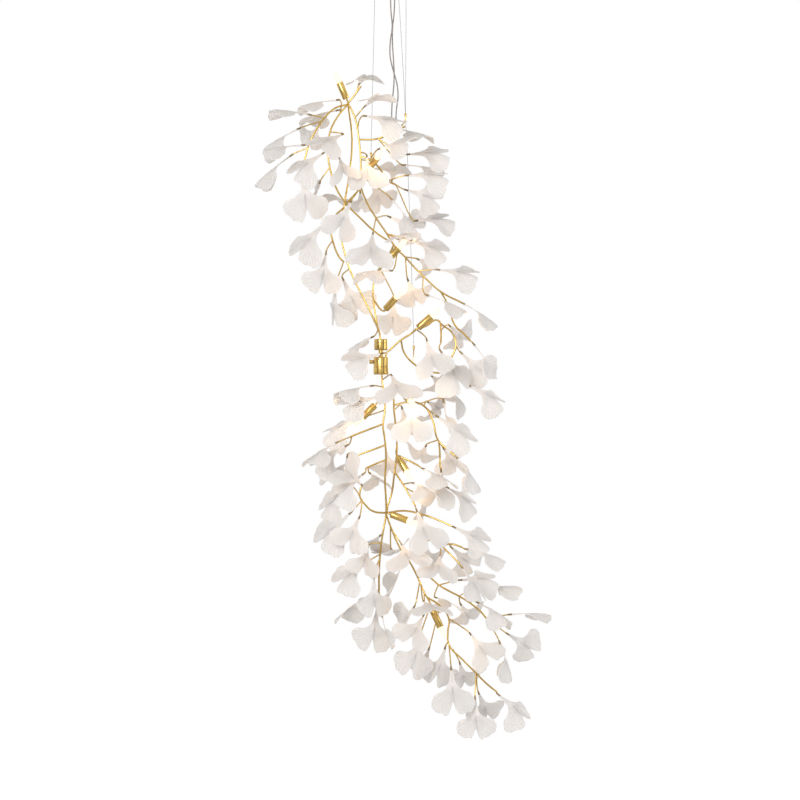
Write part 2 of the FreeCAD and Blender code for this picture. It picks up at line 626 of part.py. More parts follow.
lower_top = neck_top - Vector(0, 0, size("upper_block_height") + size("coupling_gap"))
screw_height = -12
screw_hole = Part.makeCylinder(size("thumb_stem_radius") + size("fit_gap"), 2 * size("lower_block_radius"),
                               Vector(-size("thumb_seat"), 0, screw_height), Vector(-1, 0, 0))
block_place = FreeCAD.Placement(lower_top, FreeCAD.Rotation())
keep("lower_coupling", lower_block.Shape.cut(screw_hole), block_place)

# The thumb screw that holds the spigot's block: a knob on a stem in the block's side.
screw = turned_in_flats([
    ("0", "thumb_seat + fit_gap"), ("thumb_stem_radius", "thumb_seat + fit_gap"),
    ("thumb_stem_radius", "lower_block_radius + fit_gap"),
    ("thumb_screw_radius", "lower_block_radius + fit_gap"),
    ("thumb_screw_radius", "lower_block_radius + fit_gap + thumb_screw_length"),
    ("0", "lower_block_radius + fit_gap + thumb_screw_length")])
copy_of(screw, "thumb_screw", axis_frame(lower_top + Vector(0, 0, screw_height), Vector(-1, 0, 0)))

# The ceiling canopy: a turned cover round a strap, with grippers for the wires and a
# gland for each power cable in its floor.
canopy = body_turned("canopy_turned_pattern", [
    ("0", "0 - canopy_height"), ("canopy_radius - canopy_bevel", "0 - canopy_height"),
    ("canopy_radius", "0 - canopy_height + canopy_bevel"), ("canopy_radius", "0"),
    ("canopy_radius - canopy_wall", "0"),
    ("canopy_radius - canopy_wall", "0 - canopy_height + canopy_bevel + canopy_wall"),
    ("canopy_radius - canopy_bevel - canopy_wall", "0 - canopy_height + canopy_wall"),
    ("0", "0 - canopy_height + canopy_wall")])
canopy_shape = canopy.Shape.copy()
screw_drop = Vector(0, 0, -size("canopy_height") / 3)
screws = []
for way in (-1, 1):
    outward = Vector(way, 0, 0)
    tab_face = outward * (size("strap_length") / 2) + screw_drop
    reach = size("canopy_radius") - size("strap_length") / 2
    hole = Part.makeCylinder(size("cover_screw_radius") + size("fit_gap"), 2 * reach, tab_face, outward)
    canopy_shape = canopy_shape.cut(hole)
    stem = Part.makeCylinder(size("cover_screw_radius"), reach, tab_face, outward)
    head = Part.makeCylinder(size("cover_screw_head"), 2, tab_face + outward * reach, outward)
    screws.append(stem.fuse(head))
keep("ceiling_canopy", canopy_shape)
keep("canopy_screws", Part.makeCompound(screws))
strap = Part.makeBox(size("strap_length"), size("strap_width"), size("strap_thick"),
                     Vector(-size("strap_length") / 2, -size("strap_width") / 2, -size("strap_thick")))
for way in (-1, 1):
    hole = Part.makeCylinder(size("fixing_hole_radius"), 2 * size("strap_thick"),
                             Vector(way * size("fixing_spacing") / 2, 0, -1.5 * size("strap_thick")))
    strap = strap.cut(hole)
    tab = Part.makeBox(size("strap_thick"), size("strap_width"), size("canopy_height") / 2,
                       Vector(way * size("strap_length") / 2 - (size("strap_thick") if way > 0 else 0),
                              -size("strap_width") / 2, -size("canopy_height") / 2))
    strap = strap.fuse(tab)
keep("ceiling_strap", strap.removeSplitter())



def cord(label, points, radius):
    # a tube along straight runs joined by tangent arcs, each as large as its runs allow
    edges = []
    last = points[0]
    travel = 0.0
    radii = []
    for before, corner, after in zip(points, points[1:], points[2:]):
        a = (before - corner)
        b = (after - corner)
        cut = 0.45 * min(a.Length, b.Length)
        turn = math.pi - a.getAngle(b)
        bend = cut / math.tan(turn / 2)
        radii.append(bend)
        inward = corner + a.normalize() * cut
        outward = corner + b.normalize() * cut
        middle = (a + b).normalize()
        centre = corner + middle * (bend / math.cos(turn / 2))
        crown = centre - middle * bend
        edges.append(Part.LineSegment(last, inward).toShape())
        edges.append(Part.Arc(inward, crown, outward).toShape())
        travel += last.distanceToPoint(inward) + bend * turn
        last = outward
    edges.append(Part.LineSegment(last, points[-1]).toShape())
    travel += last.distanceToPoint(points[-1])
    path = Part.Wire(edges)
    course = (points[1] - points[0]).normalize()
    side = course.cross(Vector(0, 1, 0)).normalize()
    up = course.cross(side)
    ring = []
    for number in range(6):
        angle = math.pi * number / 3
        ring.append(points[0] + side * (radius * math.cos(angle)) + up * (radius * math.sin(angle)))
    outline = Part.makePolygon(ring + [ring[0]])
    tube = path.makePipeShell([outline], True, False)
    section = Part.Face(outline).Area
    smallest = min(radii) if radii else 0.0
    print("%s length %.0f mm, smallest radius %.0f, volume %.0f against %.0f"
          % (label, travel, smallest, tube.Volume, section * travel))
    return tube


# Suspension: each wire runs taut from a gripper under the canopy to a stop on a post of
# the branch; the power cables hang from their glands to end sleeves on the branch.
wires = {
    "left": ("upper", (361, 160), [(374.8, -6), (371, 152, -6)]),
    "middle": ("neck", (413, 363), [(398.5, -24), (408, 124, -40), (414, 345, -44)]),
    "right": ("upper", (396, 130), [(406.2, -4), (405.6, 112, -14)]),
}
cables = {
    "left": ("upper", (378, 138), [
        (390.6, 2), (390.6, 12, 2), (392.8, 26, 2), (390.2, 41, 1), (389.6, 56, 0), (393, 70, 1),
        (397.4, 84, 0), (398.4, 98, -2), (396, 110, -5), (396, 120, -5)]),
    "right": ("upper", (396, 130), [
        (394.7, -2), (394.7, 10, -2), (392.6, 25, -2), (392.2, 42, -3), (393.6, 60, -3),
        (394.4, 78, -4), (393, 94, -7), (391.6, 108, -10), (391.6, 121, -10)]),
}
floor_level = -size("canopy_height")
gripper = turned_in_flats([
    ("gripper_bore", "0 - gripper_length"), ("gripper_nose", "0 - gripper_length"),
    ("gripper_radius", "0 - gripper_length + 3"), ("gripper_radius", "0"),
    ("gripper_bore", "0")])
gland = turned_in_flats([
    ("cable_radius + fit_gap", "0 - gland_length"), ("gland_radius - 2", "0 - gland_length"),
    ("gland_radius", "0 - gland_length + 3"), ("gland_radius", "0"),
    ("cable_radius + fit_gap", "0")])
stop = turned_in_flats([
    ("0", "0 - stop_length"), ("stop_radius", "0 - stop_length"), ("stop_radius", "0"), ("0", "0")])
sleeve = turned_in_flats([
    ("0", "0 - cable_end_length"), ("cable_end_radius", "0 - cable_end_length"),
    ("cable_end_radius", "0"), ("0", "0")])
upright = Vector(0, 0, 1)
for title, lines, fitting, ending, end_length, radius, sets in (
        ("suspension_wire_", wires, gripper, stop, size("stop_length"), size("wire_radius"),
         ("gripper_set", "stop_set")),
        ("power_cable_", cables, gland, sleeve, size("cable_end_length"), size("cable_radius"),
         ("gland_set", "sleeve_set"))):
    tops = []
    ends = []
    for label, (section, fork, route) in lines.items():
        top = Vector((route[0][0] - size("axis_column")) * step, -route[0][1] * step, floor_level)
        path = [top - upright * size("fit_gap")] + [spot(*point) for point in route[1:]]
        piece = fitting.copy()
        piece.Placement = FreeCAD.Placement(top, FreeCAD.Rotation())
        tops.append(piece)
        tie(section, fork, path[-1] - upright * end_length, upright, size("twig_radius"))
        piece = ending.copy()
        piece.Placement = FreeCAD.Placement(path[-1], FreeCAD.Rotation())
        ends.append(piece)
        keep(title + label, cord(label, path, radius))
    keep(sets[0], Part.makeCompound(tops))
    keep(sets[1], Part.makeCompound(ends))

# The brazed branches: rods and twigs of each section in one piece.
for name, label in (("upper", "upper_branch"), ("lower", "lower_branch"), ("neck", "neck_branch")):
    keep(label, bars[name][0].multiFuse(bars[name][1:]).removeSplitter())

os.makedirs("parts", exist_ok=True)
doc.recompute()
for item in doc.Objects:
    if "Invalid" in item.State or "Error" in item.State:
        raise RuntimeError("failed object " + item.Label)
for part in parts:
    if part.Shape.isNull() or not part.Shape.isValid():
        raise RuntimeError("bad shape " + part.Label)
for part in parts:
    part.Shape.exportStep("parts/%s.step" % part.Label)
print(len(parts), "sub-parts written")
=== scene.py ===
import math
import random
import bmesh
import bpy
from mathutils import Matrix, Vector


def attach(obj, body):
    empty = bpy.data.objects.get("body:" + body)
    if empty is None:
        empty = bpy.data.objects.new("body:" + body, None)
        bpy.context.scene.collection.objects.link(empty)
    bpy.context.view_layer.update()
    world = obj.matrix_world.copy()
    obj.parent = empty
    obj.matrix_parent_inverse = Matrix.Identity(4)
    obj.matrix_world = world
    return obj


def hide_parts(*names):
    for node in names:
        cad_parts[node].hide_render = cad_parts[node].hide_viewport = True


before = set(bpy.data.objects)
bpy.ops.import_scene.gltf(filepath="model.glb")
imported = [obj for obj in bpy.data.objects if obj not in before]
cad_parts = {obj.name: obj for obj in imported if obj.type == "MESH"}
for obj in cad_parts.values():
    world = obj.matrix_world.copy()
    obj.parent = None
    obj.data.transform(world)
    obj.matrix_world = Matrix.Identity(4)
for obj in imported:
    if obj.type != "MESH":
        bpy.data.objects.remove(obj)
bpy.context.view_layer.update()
print("frame loaded,", len(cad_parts), "nodes")

# places are written on the layout grid: column, row, depth toward the viewer
layout = {"step": 0.0025, "middleColumn": 392, "drop": 0.05}
perMetre = 1000  # profiles of turned pieces are in millimetres


def spot(column, row, depth=0.0):
    step = layout["step"]
    return Vector(((column - layout["middleColumn"]) * step, -depth * step, -layout["drop"] - row * step))


def heading(course):  # a course is written right, down, toward the viewer
    return Vector((course[0], -course[2], -course[1])).normalized()


def frameAt(point, along, face):
    x = along.normalized()
    z = (face - x * face.dot(x)).normalized()
    y = z.cross(x)
    return Matrix((*((x[n], y[n], z[n], point[n]) for n in range(3)), (0, 0, 0, 1)))


def upFrame(point, along):
    return Matrix.Translation(point) @ Vector((0, 0, 1)).rotation_difference(along).to_matrix().to_4x4()


# materials: a socket that takes part in sums, and a sheet that adds nodes
class Field:
    def __init__(self, sheet, socket):
        self.sheet, self.socket = sheet, socket

    def maths(self, operation, first, second):
        return self.sheet.node("ShaderNodeMath", {"operation": operation}, {0: first, 1: second})

    def __add__(self, other):
        return self.maths("ADD", self, other)

    def __sub__(self, other):
        return self.maths("SUBTRACT", self, other)

    def __rsub__(self, other):
        return self.maths("SUBTRACT", other, self)

    def __mul__(self, other):
        return self.maths("MULTIPLY", self, other)

    def __pow__(self, other):
        return self.maths("POWER", self, other)

    __radd__, __rmul__ = __add__, __mul__


class Sheet:
    def __init__(self, name, slot="", store="materials", **shader):
        self.owner = getattr(bpy.data, store).new(name)
        self.owner.use_nodes = True
        self.tree = self.owner.node_tree
        self.slot = slot
        self.fill("Principled BSDF", shader)

    def fill(self, name, values):
        for key, value in values.items():
            socket = self.tree.nodes[name].inputs[key]
            if isinstance(value, Field):
                self.tree.links.new(value.socket, socket)
            else:
                socket.default_value = value

    def set(self, key, value):
        self.fill("Principled BSDF", {key: value})

    def node(self, kind, settings, values, output=0):
        made = self.tree.nodes.new(kind)
        for key, value in settings.items():
            setattr(made, key, value)
        self.fill(made.name, values)
        return Field(self, made.outputs[output])

    def own(self, name):
        return Field(self, self.tree.nodes[name].outputs[0])

    def place(self, which="Object"):
        return self.node("ShaderNodeTexCoord", {}, {}, which)

    def axis(self, letter, which="Object"):
        return self.node("ShaderNodeSeparateXYZ", {}, {0: self.place(which)}, letter)

    def stretched(self, vector, scale):
        return self.node("ShaderNodeMapping", {}, {"Vector": vector, "Scale": scale})

    def noise(self, vector, scale, detail=3.0):
        values = {"Vector": vector, "Scale": scale, "Detail": detail}
        return self.node("ShaderNodeTexNoise", {}, values, "Fac")

    def wave(self, angle):  # a sine between 0 and 1
        return self.node("ShaderNodeMath", {"operation": "SINE"}, {0: angle}) * 0.5 + 0.5

    def ramp(self, factor, low, high):
        return self.node("ShaderNodeMapRange", {}, {"Value": factor, "From Min": low, "From Max": high})

    def blend(self, factor, first, second):
        colours = {0: factor, 6: (*first, 1), 7: (*second, 1)}
        return self.node("ShaderNodeMix", {"data_type": "RGBA"}, colours, 2)

    def mixed(self, factor, first, second):
        return self.node("ShaderNodeMixShader", {}, {0: factor, 1: first, 2: second})

    def bump(self, height, distance, strength=1.0):
        relief = {"Strength": strength, "Distance": distance, "Height": height}
        self.set("Normal", self.node("ShaderNodeBump", {}, relief))


def porcelainSheet():
    look = {"pale": (0.94, 0.912, 0.89), "shade": (0.85, 0.81, 0.78), "shadeSpan": (0.3, 0.9),
            "rough": 0.56, "roughSpan": 0.16, "depth": 0.15, "depthReach": (0.006, 0.005, 0.004),
            "depthScale": 0.6, "ior": 1.5, "veins": 27, "veinWander": 9, "wanderSize": 55, "veinPower": 1.6,
            "veinFade": (0.28, 0.5), "reliefHeight": 0.0006, "grainSize": 2600, "grainShare": 0.12,
            "cloudSize": 24, "cloudShare": 0.4}
    s = Sheet("bisquePorcelain", "leaf_porcelain", **{
        "IOR": look["ior"], "Subsurface Weight": look["depth"], "Subsurface Radius": look["depthReach"],
        "Subsurface Scale": look["depthScale"]})
    across, outward = s.axis("X", "UV"), s.axis("Y", "UV")
    wander = s.noise(s.place(), look["wanderSize"], 2)
    wave = s.wave(across * (look["veins"] * 2 * math.pi) + wander * look["veinWander"])
    ridge = wave ** look["veinPower"] * s.ramp(outward, *look["veinFade"])
    grain = s.noise(s.place(), look["grainSize"], 2)
    cloud = s.noise(s.place(), look["cloudSize"], 4)
    # painted shade: the darker colour fills the valleys between the ribs and the ribless part by the stalk,
    # with random cloudy tone mixed in
    shading = s.ramp(cloud * 0.5 + (1 - ridge) * 0.5, *look["shadeSpan"])
    s.set("Base Color", s.blend(shading, look["pale"], look["shade"]))
    s.set("Roughness", look["rough"] + cloud * look["roughSpan"])
    s.bump(ridge + grain * look["grainShare"] + cloud * look["cloudShare"], look["reliefHeight"])
    return s


def brassSheet(name, slot, colour, dark, rough, brushed=(1, 1, 0.2)):
    look = {"cloudSize": 22, "cloudSpan": (0.35, 0.95), "fineSize": 900, "roughFrom": -0.05,
            "cloudRough": 0.12, "fineRough": 0.06, "reliefHeight": 0.00002, "relief": 0.5}
    s = Sheet(name, slot, **{"Metallic": 1.0, "Roughness": rough})
    cloud = s.noise(s.place(), look["cloudSize"])
    fine = s.noise(s.stretched(s.place(), brushed), look["fineSize"])
    s.set("Base Color", s.blend(s.ramp(cloud, *look["cloudSpan"]), colour, dark))
    s.set("Roughness", rough + look["roughFrom"] + cloud * look["cloudRough"] + fine * look["fineRough"])
    s.bump(fine + cloud * 0.5, look["reliefHeight"], look["relief"])
    return s


def bulbSheet():
    look = {"glass": ((0.5, 0.46, 0.38), (0.46, 0.41, 0.32)), "glow": ((1.0, 0.88, 0.6), (1.0, 0.82, 0.5)),
            "glowStrength": 1.0, "rough": 0.35, "ior": 1.45, "cloudSize": 90}
    s = Sheet("frostedBulb", "bulb_glass", **{
        "Roughness": look["rough"], "Emission Strength": look["glowStrength"], "IOR": look["ior"]})
    cloud = s.noise(s.place(), look["cloudSize"], 2)
    s.set("Base Color", s.blend(cloud, *look["glass"]))
    s.set("Emission Color", s.blend(cloud, *look["glow"]))
    return s


def plainSheet(name, slot, colour, dark, rough, metal, cloudSize, clear=0.0):
    look = {"cloudSpan": (0.35, 0.75), "roughFrom": -0.06, "cloudRough": 0.14, "reliefHeight": 0.00005,
            "relief": 0.6}
    s = Sheet(name, slot, **{"Metallic": metal, "Roughness": rough, "Transmission Weight": clear})
    cloud = s.noise(s.place(), cloudSize, 4)
    s.set("Base Color", s.blend(s.ramp(cloud, *look["cloudSpan"]), colour, dark))
    s.set("Roughness", rough + look["roughFrom"] + cloud * look["cloudRough"])
    s.bump(cloud, look["reliefHeight"], look["relief"])
    return s


def braidSheet():
    look = {"strands": ((0.40, 0.40, 0.41), (0.22, 0.22, 0.23)), "rough": 0.34, "lay": 2600, "slant": 1400,
            "reliefHeight": 0.00016}
    s = Sheet("braidedSteel", "wire_steel", **{"Metallic": 1.0, "Roughness": look["rough"]})
    strand = s.wave(s.axis("Z") * look["lay"] + s.axis("X") * look["slant"])
    s.set("Base Color", s.blend(strand, *look["strands"]))
    s.bump(strand, look["reliefHeight"])
    return s


finishes = {
    "porcelain": porcelainSheet(),
    "branch": brassSheet("polishedBrass", "branch_brass", (0.72, 0.50, 0.16), (0.38, 0.24, 0.08), rough=0.17),
    "ferrule": brassSheet("darkenedBrass", "branch_brass", (0.36, 0.25, 0.11), (0.15, 0.1, 0.05), rough=0.34),
    "fitting": brassSheet("fittingBrass", "fitting_brass", (0.70, 0.49, 0.18), (0.48, 0.32, 0.11), rough=0.2),
    "canopy": brassSheet("satinBrass", "canopy_brass", (0.83, 0.62, 0.29), (0.72, 0.51, 0.22), rough=0.36,
                         brushed=(1, 1, 14)),
    "bulb": bulbSheet(),
    "ceramic": plainSheet("socketCeramic", "socket_ceramic", (0.91, 0.90, 0.87), (0.82, 0.8, 0.76),
                          rough=0.42, metal=0.0, cloudSize=240),
    "steel": plainSheet("strapSteel", "fixing_steel", (0.6, 0.6, 0.62), (0.46, 0.46, 0.48), rough=0.36,
                        metal=1.0, cloudSize=130),
    "wire": braidSheet(),
    "cable": plainSheet("clearCable", "cable_plastic", (0.36, 0.31, 0.29), (0.24, 0.21, 0.20), rough=0.3,
                        metal=0.0, cloudSize=300, clear=0.3),
}
print("materials made")


def finished(thing, finish, node=None, body="fixture"):
    thing.data.materials.append(finishes[finish].owner)
    bpy.context.scene.collection.objects.link(thing)
    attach(thing, body)
    if node:
        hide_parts(node)
    return thing


def meshPiece(name, bm, finish, node=None, body="fixture"):
    sharpFrom = 0.7  # radians between two faces
    for edge in bm.edges:
        edge.smooth = edge.calc_face_angle(0) < sharpFrom
    for face in bm.faces:
        face.smooth = True
    mesh = bpy.data.meshes.new(name)
    bm.to_mesh(mesh)
    bm.free()
    return finished(bpy.data.objects.new(name, mesh), finish, node, body)


# a turned shape: a profile of (radius, height) in millimetres is spun, then set at each place
def turnedShape(profile, steps):
    bm = bmesh.new()
    points = [bm.verts.new((radius / perMetre, 0, height / perMetre)) for radius, height in profile]
    rims = [bm.edges.new(pair) for pair in zip(points, points[1:])]
    bmesh.ops.spin(bm, geom=points + rims, cent=(0, 0, 0), axis=(0, 0, 1), dvec=(0, 0, 0), angle=2 * math.pi,
                   steps=steps, use_merge=True, use_duplicate=False)
    bmesh.ops.remove_doubles(bm, verts=bm.verts, dist=1e-6)
    bmesh.ops.recalc_face_normals(bm, faces=bm.faces)
    return bm


def joined(shapes):
    whole = bmesh.new()
    whole.loops.layers.uv.new("UVMap")
    scratch = bpy.data.meshes.new("scratch")
    for one in shapes:
        one.to_mesh(scratch)
        one.free()
        whole.from_mesh(scratch)
    bpy.data.meshes.remove(scratch)
    return whole


def setOut(pattern, places):
    copies = [pattern.copy() for _ in places]
    for one, place in zip(copies, places):
        one.transform(place)
    pattern.free()
    return joined(copies)


def arc(centre, radius, start, end, count):
    turns = [math.radians(start + (end - start) * n / count) for n in range(count + 1)]
    return [(centre[0] + radius * math.cos(t), centre[1] + radius * math.sin(t)) for t in turns]


# the branch layout: a rod is a run of (column, row, depth) places, and a limb starts on the rods before it
upperRods = [
    [(380, 339, 0), (380, 335, 0), (374, 320, 0), (364, 299, -2), (353, 277, -4),
     (346, 258, -6), (341, 232, -8), (344, 205, -9), (349, 175, -8), (352, 140, -5), (348, 103, 0)],
]
upperLimbs = [
    [(348, 103, 0), (355, 118, 3), (359, 140, 5), (361, 165, 5), (361, 186, 5), (367, 203, 4),
     (376, 218, 3), (387, 234, 2), (396, 248, 1), (405, 257, 1), (415, 268, 1), (424, 277, 2),
     (441, 292, 3), (462, 303, 3)],
    [(348, 104, 0), (336, 120, 7), (330, 134, 10), (328, 150, 11), (330, 168, 11), (337, 190, 10),
     (347, 205, 8), (361, 219, 6), (375, 232, 3), (390, 242, 2)],
    [(347, 104, 0), (335, 109, 8), (325, 119, 13), (315, 134, 15), (309, 147, 15), (305, 162, 15),
     (303, 170, 15)],
    [(351, 102, 0), (357, 92, 1), (361, 86, 1)],
    [(361, 157, 5), (370, 160, 7), (379, 168, 6), (388, 181, 4), (396, 185, 3)],
    [(362, 186, 5), (356, 194, 7), (349, 203, 8)],
    [(343, 207, -9), (335, 216, -5), (331, 228, -2), (334, 245, -2), (340, 258, -5), (344, 262, -6)],
    [(392, 246, 1), (386, 260, -5), (377, 272, -8), (373, 289, -8), (374, 305, -5), (378, 330, -1)],
    [(441, 292, 3), (448, 304, -12), (455, 325, -6), (464, 334, 4), (470, 341, 10)],
    [(361, 170, 5), (371, 184, 9), (380, 190, 12)],
    [(359, 140, 5), (378, 138, -8), (396, 130, -14), (405, 125, -16)],
]
lowerRods = [
    [(382, 374.6, 0), (382, 380, 0), (384, 392, 2), (385, 410, 3), (383, 425, 4), (385, 440, 4),
     (386, 455, 3), (385, 480, 2), (386, 500, 1), (386, 514, 0), (383, 532, 1), (381, 545, 1),
     (380, 556, 1), (379, 575, 1), (379, 590, 0)],
]
lowerLimbs = [
    [(384, 390, 2), (392, 395, 4), (394, 410, 4), (396, 430, 2), (397, 446, 1), (396, 462, 1),
     (394, 476, 1), (392, 492, 0), (387, 508, 0)],
    [(384, 392, 2), (396, 389, 6), (403, 391, 7), (410, 398, 8)],
    [(386, 514, 0), (392, 530, -2), (400, 548, -5), (409, 561, -6), (418, 578, -4), (424, 592, -1),
     (431, 604, 1)],
    [(418, 578, -4), (424, 573, -2), (432, 579, -1), (439, 585, 0), (449, 591, 1), (459, 596, 1),
     (470, 603, 0), (480, 611, -1), (487, 619, -1)],
    [(427, 597, 0), (440, 606, -5), (449, 619, -8), (448, 632, -6), (449, 645, -2), (462, 659, 0),
     (476, 673, 0), (487, 684, 0), (497, 692, 0)],
    [(396, 455, 1), (406, 459, 4), (419, 466, 6)],
    [(396, 405, 4), (412, 402, -8), (424, 406, -10), (433, 421, -7), (438, 440, -3), (447, 449, 0),
     (455, 456, 2)],
    [(438, 442, -3), (440, 455, -5), (440, 466, -5)],
    [(395, 472, 1), (403, 484, 6), (410, 496, 10), (415, 505, 13)],
    [(387, 513, 0), (404, 511, -6), (420, 514, -8), (440, 521, -5), (451, 526, -2)],
    [(420, 514, -8), (428, 531, -4), (441, 545, 0), (452, 556, 4), (460, 564, 6)],
    [(441, 545, 0), (452, 544, 3), (462, 547, 4)],
    [(385, 513, 0), (373, 511, 5), (365, 504, 8), (360, 496, 9), (361, 487, 9)],
    [(383, 424, 4), (370, 429, 8), (357, 434, 10), (350, 437, 11)],
    [(385, 445, 4), (372, 450, 0), (358, 455, -3)],
    [(386, 460, 3), (375, 464, 10), (366, 468, 12)],
]
neckRods = [
    [(386, 357, 0), (386, 354, 0), (391, 349, 0), (401, 340, 0), (412, 333, 0), (416, 329, 0)],
]
neckLimbs = [
    [(416, 329, 0), (426, 326, -8), (438, 320, -10), (441, 330, -6), (441, 342, 2)],
    [(438, 320, -10), (443, 325, -12), (452, 332, -14), (456, 345, -13), (450, 362, -12),
     (449, 373, -9)],
    [(401, 340, 0), (404, 352, -8), (412, 362, -12), (425, 370, -13), (449, 374, -10)],
]

# a lamp: its section, its fork on the rods, the foot of its tube, and the course that it points
lamps = {
    "a": ("upper", (349, 107), (346.5, 99, 3), (-6.5, -15, 2)),
    "b": ("upper", (366, 158), (371, 167, 15), (6, -7, 14)),
    "c": ("upper", (378, 271), (387, 262, 10), (12, -14, 1)),
    "d": ("upper", (374, 300), (386, 309, 4), (10, -11, 9)),
    "e": ("neck", (412, 333), (418, 328, 3), (14, -12, 2)),
    "f": ("lower", (384, 395), (375, 405, 8), (-13, 13, 2)),
    "g": ("lower", (403, 391), (404, 394, 12), (6, 7, 15)),
    "h": ("lower", (397, 446), (398, 457, 6), (8, 13, 7)),
    "i": ("lower", (388, 507), (391, 514, 5), (16, 6, 3)),
    "j": ("lower", (431, 604), (433, 611, 2), (8, 17, 2)),
}

